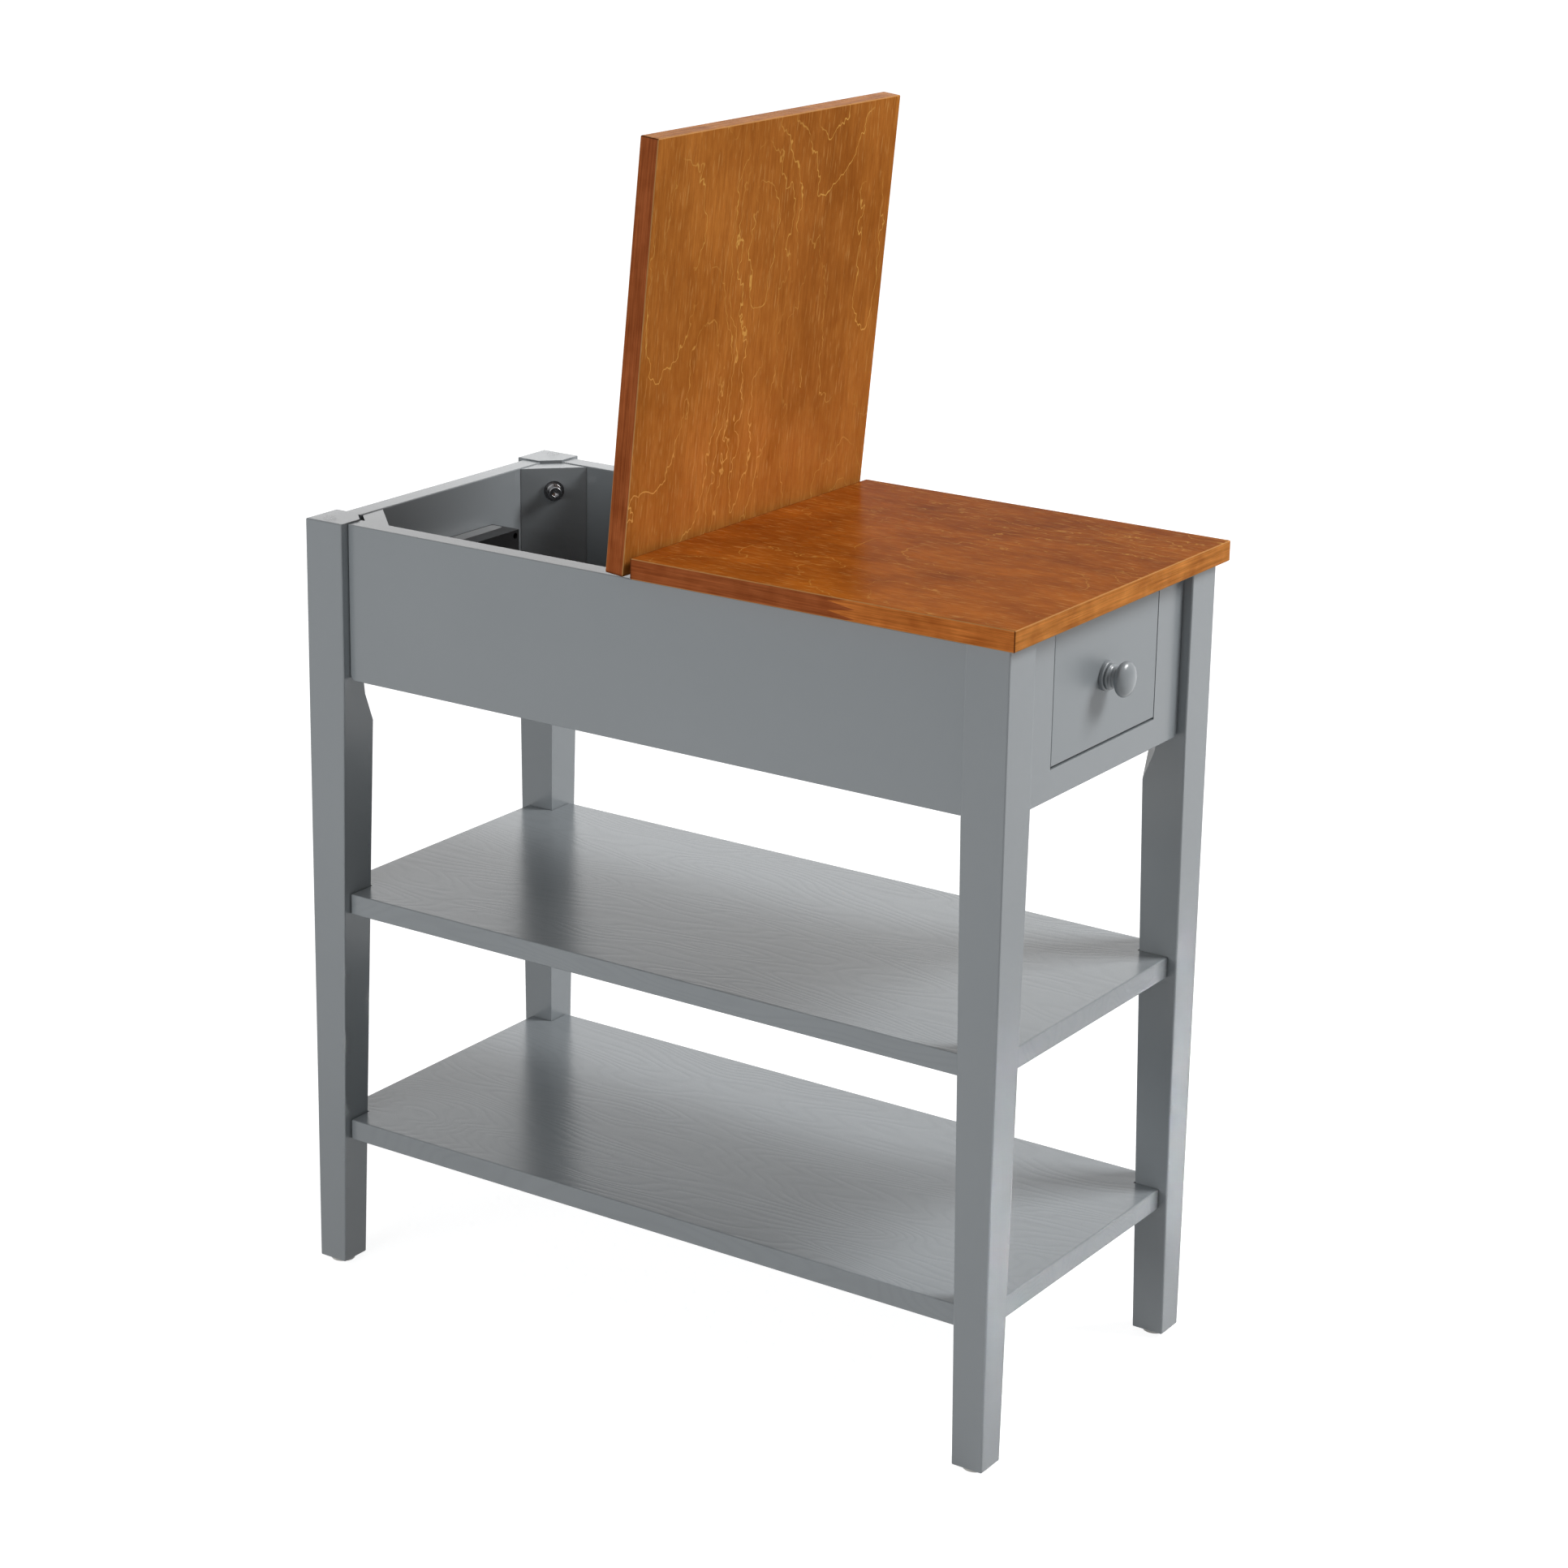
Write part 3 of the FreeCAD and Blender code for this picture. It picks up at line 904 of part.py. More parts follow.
lid_corners = rectangle(f"{lid_end} - {lid_length}", "-top_width / 2", lid_end, "top_width / 2")
lid_blank = prism("lid_blank", lid_corners, lid_under, "panel_thickness", origin="0")
soften(lid_blank, "panel_arris", anywhere)
lid_holes = []
cups = []
cup_screws = []
pins = []
arms = []
arm_screws = []
for side_name, side in (("left", -1), ("right", 1)):
    hinge_y = f"({side} * {HINGE_Y})"
    cup_seat = (cup_x, hinge_y, lid_under)
    pocket_depth = "cup_depth + panel_fit"
    lid_holes.append(rod(f"{side_name}_cup_pocket", "cup_radius", pocket_depth, cup_seat, origin="0"))

    can = rod(f"{side_name}_can", "cup_radius - 2 * snug", "cup_depth", cup_seat, origin="0")
    flange = rod(f"{side_name}_flange", "cup_flange_radius", "cup_flange", cup_seat, DOWN, "0")
    mouth_z = f"{lid_under} - cup_flange"
    ears = box(f"{side_name}_ears", ("cup_ear_width", "cup_ear_length", "cup_flange"),
               (f"{cup_x} - cup_ear_width / 2", f"{hinge_y} - cup_ear_length / 2", mouth_z), "0")
    mouth_depth = "cup_depth + cup_flange - cup_wall"
    mouth = rod(f"{side_name}_mouth", "cup_radius - 2 * snug - cup_wall", mouth_depth,
                (cup_x, hinge_y, mouth_z), origin="0")
    behind_lugs = box(f"{side_name}_behind_lugs", ("2 * cup_radius", "2 * cup_radius", "2 * cup_depth"),
                      ("-lug_reach - 2 * cup_radius", f"{hinge_y} - cup_radius", mouth_z), "0")
    slot_width = "(arm_width + 2 * arm_side_gap)"
    between_lugs = box(f"{side_name}_between_lugs", ("4 * cup_radius", slot_width, "2 * cup_depth"),
                       (f"{cup_x} - 2 * cup_radius", f"{hinge_y} - {slot_width} / 2", mouth_z), "0")
    hollow = doc.addObject("Part::Common", f"{side_name}_cup_hollow")
    hollow.Base = mouth
    hollow.Tool = fuse(f"{side_name}_cup_space", [behind_lugs, between_lugs])
    pin_start = ("0", f"{hinge_y} - pin_length / 2", "0")
    pin_hole = rod(f"{side_name}_pin_hole", "pin_radius + snug / 2", "pin_length", pin_start,
                   RIGHTWARD, "0")
    cup_tools = [hollow, pin_hole]
    for end_name, end in (("inner", "-"), ("outer", "+")):
        screw_y = f"{hinge_y} {end} cup_screw_spacing / 2"
        under_ear = (cup_x, screw_y, mouth_z)
        name = f"{side_name}_{end_name}_cup"
        cup_tools.append(screw_hole(f"{name}_ear_hole", "cup_flange", under_ear, UP, "0"))
        lid_holes.append(screw_hole(f"{name}_pilot", "screw_bite", (cup_x, screw_y, lid_under), UP, "0"))
        length = "cup_flange + screw_bite - hole_depth_spare"
        cup_screws.append(screw(f"{name}_screw", length, under_ear, UP, "0"))
    cups.append(cut(f"{side_name}_cup", fuse(f"{side_name}_cup_blank", [can, flange, ears]), cup_tools))
    pins.append(rod(f"{side_name}_pin", "pin_radius", "pin_length", pin_start, RIGHTWARD, "0"))

    arm = doc.addObject("PartDesign::Body", f"{side_name}_arm_strip")
    plate_face = "(hinge_setback - divider_setback - divider_thickness)"
    half = "arm_thickness / 2"
    upright_face = "(-arm_back - arm_thickness)"
    corners = [
        ("0", half), (upright_face, half), (upright_face, "-arm_under - arm_thickness"),
        (f"{plate_face} - arm_thickness", "-arm_under - arm_thickness"),
        (f"{plate_face} - arm_thickness", "-arm_under - arm_plate_length"),
        (plate_face, "-arm_under - arm_plate_length"), (plate_face, "-arm_under"),
        ("-arm_back", "-arm_under"), ("-arm_back", f"-{half}"), ("0", f"-{half}"),
    ]
    strip = pad(arm, outline(arm, "XZ_Plane", corners), "arm_width")
    strip.Reversed = True
    at(arm, "0", f"{hinge_y} - arm_width / 2", "0", origin="0")
    arm_start = ("0", f"{hinge_y} - arm_width / 2", "0")
    eye_radius = "pin_radius + pin_running"
    eye = rod(f"{side_name}_eye", f"{eye_radius} + eye_wall", "arm_width", arm_start, RIGHTWARD, "0")
    eye_bore = rod(f"{side_name}_eye_bore", eye_radius, "arm_width", arm_start, RIGHTWARD, "0")
    arm_tools = [eye_bore]
    for level_name, level_sign in (("lower", "-"), ("upper", "+")):
        level = f"-arm_under - arm_plate_length / 2 {level_sign} arm_screw_spacing / 2"
        plate_back = (f"{plate_face} - arm_thickness", hinge_y, level)
        name = f"{side_name}_{level_name}_arm"
        arm_tools.append(screw_hole(f"{name}_hole", "arm_thickness", plate_back, FORWARD, "0"))
        length = "arm_thickness + screw_bite - hole_depth_spare"
        arm_screws.append(screw(f"{name}_screw", length, plate_back, FORWARD, "0"))
    arms.append(cut(f"{side_name}_arm", fuse(f"{side_name}_arm_blank", [arm, eye]), arm_tools))
keep(on_lid(cut("lid_drilled", lid_blank, lid_holes)), "lid")
keep(on_lid(group("cup_set", cups)), "hinge_cups")
keep(on_lid(group("cup_screw_set", cup_screws)), "hinge_cup_screws")
keep(on_lid(group("pin_set", pins)), "hinge_pins")
keep(on_hinge(group("arm_set", arms)), "hinge_arms")
keep(on_hinge(group("arm_screw_set", arm_screws)), "hinge_arm_screws")

bumpers = []
for side_name, side in (("left", -1), ("right", 1)):
    place = corner_place(-1, side, "bumper_inset_long", "bumper_inset_side")
    bumpers.append(rod(f"bumper_{side_name}", "bumper_radius", "top_gap - bumper_rest", (*place, FRAME_TOP)))
keep(group("bumper_set", bumpers), "lid_bumpers")

# ---------------------------------------------------------------- drawer
# An inset front on a grooved box, run on two rebated runners between the front apron and the divider.

front_back = f"({front_outer} - front_thickness)"
box_half = f"({OPENING_HALF} - box_inset)"
box_inner = f"({box_half} - side_thickness)"
box_bottom = f"({APRON_BOTTOM} + front_rail + box_lift)"
box_rear = f"({DIVIDER_FRONT} + box_room)"
box_length = f"({front_back} - {box_rear})"
groove_z = f"({box_bottom} + groove_rise)"
groove_height = "(drawer_bottom_thickness + groove_play)"
back_bottom = f"({groove_z} + {groove_height})"
back_top = f"({box_bottom} + side_height - back_drop)"
dowel_levels = (("lower", f"{box_bottom} + dowel_edge"),
                ("upper", f"{box_bottom} + side_height - dowel_edge"))
back_screw_levels = (("lower", f"{back_bottom} + back_screw_edge"),
                     ("upper", f"{back_top} - back_screw_edge"))
knob_z = f"({FRAME_TOP} - knob_drop)"

front_half = f"({OPENING_HALF} - front_side_gap)"
front_blank = prism("drawer_front_blank", rectangle(front_back, f"-{front_half}", front_outer, front_half),
                    f"{APRON_BOTTOM} + front_rail + front_lower_gap",
                    "apron_height - front_rail - front_lower_gap")
soften(front_blank, "front_arris", frontmost)
front_tools = [box("front_groove", ("groove_depth", f"2 * ({box_inner} + groove_depth)", groove_height),
                   (front_back, f"-({box_inner} + groove_depth)", groove_z))]
sides = []
dowels = []
back_holes = []
back_screws = []
catches = []
stops = []
for side_name, side in (("left", -1), ("right", 1)):
    outward = Vector(0, side, 0)
    low_y = f"{side} * ({box_half} - side_thickness / 2) - side_thickness / 2"
    board = box(f"side_{side_name}", (box_length, "side_thickness", "side_height"),
                (box_rear, low_y, box_bottom))
    groove_y = f"{side} * ({box_inner} + groove_depth / 2) - groove_depth / 2"
    side_tools = [box(f"side_groove_{side_name}", (box_length, "groove_depth", groove_height),
                      (box_rear, groove_y, groove_z))]
    dowel_y = f"{side} * ({box_half} - side_thickness / 2)"
    for level_name, level in dowel_levels:
        name = f"{side_name}_{level_name}"
        joint = (front_back, dowel_y, level)
        front_tools.append(rod(f"{name}_front_dowel_hole", "dowel_radius + snug",
                               "dowel_in_front + hole_depth_spare", joint, FORWARD))
        side_tools.append(rod(f"{name}_side_dowel_hole", "dowel_radius + snug",
                              "dowel_in_side + hole_depth_spare", joint, REARWARD))
        start = (f"{front_back} - dowel_in_side", dowel_y, level)
        dowels.append(rod(f"{name}_dowel", "dowel_radius", "dowel_in_side + dowel_in_front", start, FORWARD))
    for level_name, level in back_screw_levels:
        name = f"{side_name}_{level_name}_back"
        start = (f"{box_rear} + side_thickness / 2", f"{side} * {box_half}", level)
        side_tools.append(screw_hole(f"{name}_side_hole", "side_thickness", start, -outward))
        length = "side_thickness + screw_bite"
        back_holes.append(screw_hole(f"{name}_hole", f"{length} + hole_depth_spare", start, -outward))
        back_screws.append(screw(f"{name}_screw", length, start, -outward))
    keep(cut(f"side_{side_name}_grooved", board, side_tools), f"drawer_side_{side_name}")

    catch_front = f"({front_back} - drawer_travel - stop_gap)"
    catch_y = f"{side} * ({box_half} + catch_width / 2) - catch_width / 2"
    catches.append(box(f"catch_{side_name}", ("catch_length", "catch_width", "catch_height"),
                       (f"{catch_front} - catch_length", catch_y, f"{box_bottom} + catch_rise")))
    stops.append(box(f"stop_{side_name}", ("box_room - stop_gap", "side_thickness", "stop_height"),
                     (DIVIDER_FRONT, low_y, f"{box_bottom} + catch_rise")))

    runner = doc.addObject("PartDesign::Body", f"runner_{side_name}")
    ledge_top = f"({box_bottom} - runner_play)"
    guide_face = f"({box_half} + guide_play)"
    guide_back = f"({guide_face} + guide_width)"
    ledge_edge = f"({box_half} - runner_ledge)"
    corners = [(f"{side} * {ledge_edge}", f"{ledge_top} - runner_depth"),
               (f"{side} * {guide_back}", f"{ledge_top} - runner_depth"),
               (f"{side} * {guide_back}", f"{ledge_top} + guide_height"),
               (f"{side} * {guide_face}", f"{ledge_top} + guide_height"),
               (f"{side} * {guide_face}", ledge_top), (f"{side} * {ledge_edge}", ledge_top)]
    pad(runner, outline(runner, "YZ_Plane", corners), f"{INSIDE_X} - {DIVIDER_FRONT}")
    keep(at(runner, DIVIDER_FRONT, "0", "0"), f"drawer_runner_{side_name}")

back_board = box("back_board", ("side_thickness", f"2 * {box_inner}", f"{back_top} - {back_bottom}"),
                 (box_rear, f"-{box_inner}", back_bottom))
keep(cut("back_drilled", back_board, back_holes), "drawer_back")
floor_half = f"({box_inner} + groove_depth - groove_play)"
floor_size = (f"{box_length} + groove_depth - groove_play", f"2 * {floor_half}", "drawer_bottom_thickness")
floor_corner = (box_rear, f"-{floor_half}", f"{groove_z} + groove_play / 2")
keep(box("drawer_floor", floor_size, floor_corner), "drawer_bottom")
keep(group("dowel_set", dowels), "drawer_dowels")
keep(group("back_screw_set", back_screws), "drawer_back_screws")
keep(group("catch_set", catches), "drawer_catches")
keep(group("stop_set", stops), "drawer_stops")

# The knob is turned: a foot, a bead, a neck and a flattened ball.  Its screw comes from inside.
knob_seat = (front_outer, "0", knob_z)
foot = rod("knob_foot_disc", "knob_base_radius", "knob_base_thickness", knob_seat, FORWARD)
doc.recompute()
rounded_foot = doc.addObject("Part::Fillet", "knob_foot")
rounded_foot.Base = foot
rim = [index for index, edge in enumerate(foot.Shape.Edges, start=1)
       if frontmost(edge, foot.Shape.BoundBox)]
rounded_foot.Edges = [(index, sheet.knob_base_round, sheet.knob_base_round) for index in rim]
bead = doc.addObject("Part::Torus", "knob_bead")
bind(bead, "Radius1", "knob_bead_radius - knob_bead_round")
bind(bead, "Radius2", "knob_bead_round")
at(bead, f"{front_outer} + knob_base_thickness + knob_bead_round", "0", knob_z, FORWARD)
bead_core = rod("knob_bead_core", "knob_bead_radius - knob_bead_round",
                "knob_base_thickness + 2 * knob_bead_round", knob_seat, FORWARD)
neck = rod("knob_neck", "knob_neck_radius", "knob_length - knob_head_half", knob_seat, FORWARD)
ball = doc.addObject("Part::Ellipsoid", "knob_ball")
bind(ball, "Radius1", "knob_head_half")
bind(ball, "Radius2", "knob_head_radius")
bind(ball, "Radius3", "knob_head_radius")
at(ball, f"{front_outer} + knob_length - knob_head_half", "0", knob_z, FORWARD)
hole_depth = "knob_screw_grip + hole_depth_spare"
knob_hole = rod("knob_hole", "knob_screw_radius + snug", hole_depth, knob_seat, FORWARD)
knob_solid = fuse("knob_solid", [rounded_foot, bead, bead_core, neck, ball])
keep(cut("knob_drilled", knob_solid, [knob_hole]), "knob")

screw_seat = (front_back, "0", knob_z)
shank_length = "front_thickness + knob_screw_grip"
knob_shank = rod("knob_shank", "knob_screw_radius", shank_length, screw_seat, FORWARD)
knob_head = rod("knob_screw_head_disc", "knob_screw_head_radius", "knob_screw_head_height",
                screw_seat, REARWARD)
keep(fuse("knob_screw_solid", [knob_shank, knob_head]), "knob_screw")
knob_way = rod("knob_front_hole", "knob_screw_radius + snug", "front_thickness", screw_seat, FORWARD)
front_tools.append(knob_way)
keep(cut("drawer_front_drilled", front_blank, front_tools), "drawer_front")

# ---------------------------------------------------------------- checks and files

doc.recompute()
for item in doc.Objects:
    if "Invalid" in item.State or "Error" in item.State:
        raise RuntimeError(f"{item.Name} failed to compute: {item.State}")
labels = [piece.Label for piece in nodes]
if len(set(labels)) != len(labels):
    raise RuntimeError("two sub-parts share a label")
for piece in nodes:
    if piece.Shape.isNull() or not piece.Shape.isValid():
        raise RuntimeError(f"{piece.Label} has no valid shape")

os.makedirs("parts", exist_ok=True)
for piece in nodes:
    piece.Shape.exportStep(os.path.join("parts", f"{piece.Label}.step"))
    bounds = piece.Shape.BoundBox
    print(f"{piece.Label}: {len(piece.Shape.Solids)} solid(s), {piece.Shape.Volume:.0f} mm3, "
          f"z {bounds.ZMin:.1f} to {bounds.ZMax:.1f}")
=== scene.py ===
import math

import bpy
import numpy as np
from mathutils import Matrix, Vector


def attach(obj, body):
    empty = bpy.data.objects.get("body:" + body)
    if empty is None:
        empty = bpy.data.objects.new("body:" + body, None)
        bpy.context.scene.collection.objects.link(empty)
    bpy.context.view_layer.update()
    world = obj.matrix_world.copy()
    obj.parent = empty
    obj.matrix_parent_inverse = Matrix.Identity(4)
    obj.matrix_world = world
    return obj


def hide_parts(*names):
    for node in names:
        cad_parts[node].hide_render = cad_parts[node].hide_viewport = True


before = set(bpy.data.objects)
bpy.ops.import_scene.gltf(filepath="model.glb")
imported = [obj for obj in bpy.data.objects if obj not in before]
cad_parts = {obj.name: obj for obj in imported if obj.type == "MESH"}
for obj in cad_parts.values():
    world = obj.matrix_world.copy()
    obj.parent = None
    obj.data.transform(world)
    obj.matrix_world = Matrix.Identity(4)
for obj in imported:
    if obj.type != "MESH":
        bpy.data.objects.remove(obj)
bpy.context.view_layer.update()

# ---------------------------------------------------------------------------
# Studio: a pale paper floor that runs on under a white surround. A key lamp
# stands high beyond the drawer end, wide lamps fill the two long sides, and
# narrow ones beyond the drawer end reach the front legs and the open lid.
# ---------------------------------------------------------------------------
scene = bpy.context.scene
scene.view_settings.view_transform = "Standard"
white = (1, 1, 1, 1)


def node_tool(tree):
    """Empties a node tree and gives its tool node(kind, inputs, out, settings), which adds one shader
    node and returns one of its outputs. An input that is a socket is linked, any other is set."""
    tree.nodes.clear()

    def node(kind, inputs=None, out=0, **settings):
        made = tree.nodes.new("ShaderNode" + kind)
        for key, value in settings.items():
            setattr(made, key, value)
        for key, value in (inputs or {}).items():
            if isinstance(value, bpy.types.NodeSocket):
                tree.links.new(value, made.inputs[key])
            else:
                made.inputs[key].default_value = value
        return made.outputs[out] if len(made.outputs) else made

    return node


def start_material(name):
    """An empty node material and its node tool."""
    material = bpy.data.materials.new(name)
    material.use_nodes = True
    return material, node_tool(material.node_tree)


def seen_directly(node):
    """1 on rays that come from the camera, off a glossy surface or through a clear one, else 0."""
    camera_ray, glossy_ray, clear_ray = [
        node("LightPath", out=kind) for kind in ("Is Camera Ray", "Is Glossy Ray", "Is Transmission Ray")]
    either = node("Math", {0: camera_ray, 1: glossy_ray}, operation="MAXIMUM")
    return node("Math", {0: either, 1: clear_ray}, operation="MAXIMUM")


def grid_faces(rows, columns, closed=False):
    """Quads over a grid of points, row by row. A closed grid joins its last column to its first."""
    u, v = np.meshgrid(np.arange(rows - 1), np.arange(columns if closed else columns - 1), indexing="ij")
    v_next = (v + 1) % columns
    corners = np.stack([u * columns + v, u * columns + v_next,
                        (u + 1) * columns + v_next, (u + 1) * columns + v], -1)
    return corners.reshape(-1, 4).tolist()


floor_reach, floor_lines = 40, 21
floor_edge = np.linspace(-floor_reach, floor_reach, floor_lines)
floor_y, floor_x = np.meshgrid(floor_edge, floor_edge, indexing="ij")
floor_points = np.stack([floor_x, floor_y, np.zeros_like(floor_x)], -1)
floor_mesh = bpy.data.meshes.new("studio_floor")
floor_mesh.from_pydata(floor_points.reshape(-1, 3).tolist(), [], grid_faces(floor_lines, floor_lines))
studio_floor = bpy.data.objects.new("studio_floor", floor_mesh)
scene.collection.objects.link(studio_floor)
floor_white, node = start_material("studio_floor_white")
floor_paper = node("BsdfPrincipled", {"Base Color": (0.48, 0.485, 0.49, 1), "Roughness": 0.8,
                                      "Specular IOR Level": 0.2})
far_off = node("VectorMath", {0: node("TexCoord", out="Object")}, "Value", operation="LENGTH")
whiter = node("MapRange", {"Value": far_off, "From Min": 1.0, "From Max": 3.0, "To Min": 0.88, "To Max": 1.0})
floor_glow = node("Emission", {"Color": white, "Strength": whiter})
floor_seen = node("AddShader", {0: floor_paper, 1: floor_glow})
floor_mix = node("MixShader", {0: seen_directly(node), 1: floor_paper, 2: floor_seen})
node("OutputMaterial", {"Surface": floor_mix})
floor_mesh.materials.append(floor_white)

surround = bpy.data.worlds.new("studio_surround")
surround.use_nodes = True
scene.world = surround
node = node_tool(surround.node_tree)
surround_light = node("Background", {"Color": white, "Strength": 0.15})
surround_seen = node("Background", {"Color": white, "Strength": 1.0})
surround_mix = node("MixShader", {0: seen_directly(node), 1: surround_light, 2: surround_seen})
node("OutputWorld", {"Surface": surround_mix})

# Name, place, target, width, height, spread in degrees, watts, mirrored in glossy surfaces.
studio_lamps = (
    ("key_lamp", (2.07, 1.45, 2.62), (0, 0, 0.5), 1.2, 1.2, 180, 86, True),
    ("side_lamp", (-0.4, -1.8, 0.74), (0, 0, 0.3), 1.3, 0.8, 180, 12.5, False),
    ("back_lamp", (-1.94, 2.9, 1.15), (0, 0, 0.6), 3.2, 0.7, 180, 7.5, True),
    ("low_lamp_left", (4.2, -0.128, 0.22), (0, -0.128, 0.175), 0.1, 0.1, 5.5, 0.08, False),
    ("low_lamp_right", (4.2, 0.128, 0.22), (0, 0.128, 0.175), 0.1, 0.1, 5.5, 0.08, False),
    ("lid_lamp", (4.2, 0.0, 1.0), (-0.02, 0, 0.65), 0.6, 0.05, 3, 0.028, True),
)
for lamp_name, lamp_place, lamp_target, width, height, spread, watts, mirrored in studio_lamps:
    lamp = bpy.data.lights.new(lamp_name, "AREA")
    lamp.shape = "RECTANGLE"
    lamp.size = width
    lamp.size_y = height
    lamp.spread = math.radians(spread)
    lamp.energy = watts
    lamp_stand = bpy.data.objects.new(lamp_name, lamp)
    lamp_stand.location = lamp_place
    lamp_line = Vector(lamp_target) - Vector(lamp_place)
    lamp_stand.rotation_euler = lamp_line.to_track_quat("-Z", "Y").to_euler()
    lamp_stand.visible_camera = False
    lamp_stand.visible_glossy = mirrored
    scene.collection.objects.link(lamp_stand)

frame_pixels, focal_pixels = 1932, 4492.1
middle_x, middle_y = 960.1, 850.0
azimuth, elevation, roll = math.radians(33.731), math.radians(16.529), math.radians(0.965)
camera_target, camera_distance = Vector((-0.00481, 0.03406, 0.47272)), 2.68188
ahead = Vector((-math.sin(azimuth) * math.cos(elevation),
                math.cos(azimuth) * math.cos(elevation), -math.sin(elevation)))
level = Vector((math.cos(azimuth), math.sin(azimuth), 0))
upright = level.cross(ahead)
across = math.cos(roll) * level + math.sin(roll) * upright
upward = math.cos(roll) * upright - math.sin(roll) * level
camera = bpy.data.cameras.new("studio_camera")
camera.sensor_width = 36
camera.lens = focal_pixels / frame_pixels * camera.sensor_width
camera.shift_x = (frame_pixels / 2 - middle_x) / frame_pixels
camera.shift_y = (middle_y - frame_pixels / 2) / frame_pixels
camera_stand = bpy.data.objects.new("studio_camera", camera)
camera_turn = Matrix((across, upward, -ahead)).transposed().to_4x4()
camera_stand.matrix_world = Matrix.Translation(camera_target - ahead * camera_distance) @ camera_turn
scene.collection.objects.link(camera_stand)
scene.camera = camera_stand

# ---------------------------------------------------------------------------
# Legs: hardwood, sawn square and tapered on their two inner faces, sanded and
# sprayed with satin grey-blue paint. Each stands on a nailed nylon glide, and
# holds two zinc-plated threaded inserts for the corner bolts.
# ---------------------------------------------------------------------------
def satin_paint(name, grain_scale, grain_depth, figure=0.0, dull=0.0):
    """Satin paint over wood or board. Tone and gloss drift over a hand's width, and the surface
    carries a fine spray texture. grain_scale is how many ridges a metre the wood shows along x, y
    and z, and grain_depth their height. A figure adds arched growth rings, the height lines of a
    long smooth noise that starts there. dull is added to the roughness."""
    material, node = start_material(name)
    place = node("TexCoord", out="Object")
    drift = node("TexNoise", {"Vector": place, "Scale": 7, "Detail": 3, "Roughness": 0.55})
    tint = node("Mix", {0: drift, 6: (0.272, 0.297, 0.314, 1), 7: (0.306, 0.330, 0.347, 1)}, 2,
                data_type="RGBA")
    ridges = node("Mapping", {"Vector": place, "Scale": grain_scale})
    grain = node("TexNoise", {"Vector": ridges, "Scale": 1, "Detail": 4, "Roughness": 0.6,
                              "Distortion": 0.4})
    spray = node("TexNoise", {"Vector": place, "Scale": 1400, "Detail": 2, "Roughness": 0.5})
    fibres = node("Bump", {"Strength": 0.35, "Distance": grain_depth, "Height": grain})
    if figure:
        long_way = node("Mapping", {"Vector": place, "Scale": (3.4, 13.0, 13.0),
                                    "Location": (figure, 0.3, 0)})
        hills = node("TexNoise", {"Vector": long_way, "Scale": 1, "Detail": 2, "Roughness": 0.4,
                                  "Distortion": 0.3})
        steps = node("Math", {0: hills, 1: 34.0}, operation="MULTIPLY")
        rings = node("Math", {0: steps, 1: 0.5}, operation="PINGPONG")
        ring_edge = node("MapRange", {"Value": rings, "From Min": 0.02, "From Max": 0.3})
        fibres = node("Bump", {"Strength": 0.3, "Distance": 0.0001, "Height": ring_edge, "Normal": fibres})
        shade = node("MapRange", {"Value": ring_edge, "To Min": 0.96, "To Max": 1.0})
        tint = node("Mix", {0: 1.0, 6: tint, 7: shade}, 2, data_type="RGBA", blend_type="MULTIPLY")
    skin = node("Bump", {"Strength": 0.1, "Distance": 0.0001, "Height": spray, "Normal": fibres})
    gloss = node("MapRange", {"Value": drift, "To Min": 0.2 + dull, "To Max": 0.27 + dull})
    shader = node("BsdfPrincipled", {"Base Color": tint, "Roughness": gloss, "Normal": skin, "IOR": 1.52})
    node("OutputMaterial", {"Surface": shader})
    return material


def finish(material, *names):
    """Gives CAD nodes one material."""
    for name in names:
        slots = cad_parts[name].data.materials
        slots.clear()
        slots.append(material)


def plastic_or_plating(name, colour, rough, metallic=0.0, grit=300):
    """Plastic, rubber or plated steel: one colour that clouds from 0.86 to 1.12 of itself, gloss
    that clouds by a quarter, and a fine grit of so many grains a metre in the surface."""
    material, node = start_material(name)
    place = node("TexCoord", out="Object")
    cloud = node("TexNoise", {"Vector": place, "Scale": 90, "Detail": 4, "Roughness": 0.6})
    grains = node("TexNoise", {"Vector": place, "Scale": grit, "Detail": 3})
    light, dark = [min(1.0, c * 1.12) for c in colour], [c * 0.86 for c in colour]
    tint = node("Mix", {0: cloud, 6: (*dark, 1), 7: (*light, 1)}, 2, data_type="RGBA")
    gloss = node("MapRange", {"Value": cloud, "To Min": rough * 0.75, "To Max": rough * 1.25})
    skin = node("Bump", {"Strength": 0.3, "Distance": 0.00005, "Height": grains})
    node("OutputMaterial", {"Surface": node("BsdfPrincipled", {
        "Base Color": tint, "Roughness": gloss, "Normal": skin, "Metallic": metallic})})
    return material


finish(satin_paint("grey_paint_on_legs", (260, 260, 6), 0.00012),
       "leg_rear_left", "leg_rear_right", "leg_front_left", "leg_front_right")
pale_nylon = plastic_or_plating("pale_nylon", (0.66, 0.65, 0.62), 0.4, grit=800)
finish(pale_nylon, "foot_glides")
zinc_steel = plastic_or_plating("zinc_plated_steel", (0.60, 0.60, 0.57), 0.34, 1.0, grit=500)
finish(zinc_steel, "leg_inserts")

# ---------------------------------------------------------------------------
# Aprons: painted fibreboard on all four sides, set back behind the legs'
# outer faces. Their lower corners are rounded and their arrises softened.
# ---------------------------------------------------------------------------
board_paint = satin_paint("grey_paint_on_boards", (12, 120, 120), 0.00006)
cross_paint = satin_paint("grey_paint_on_cross_boards", (120, 12, 120), 0.00006)
finish(board_paint, "side_apron_left", "side_apron_right")
finish(cross_paint, "front_apron", "rear_apron")

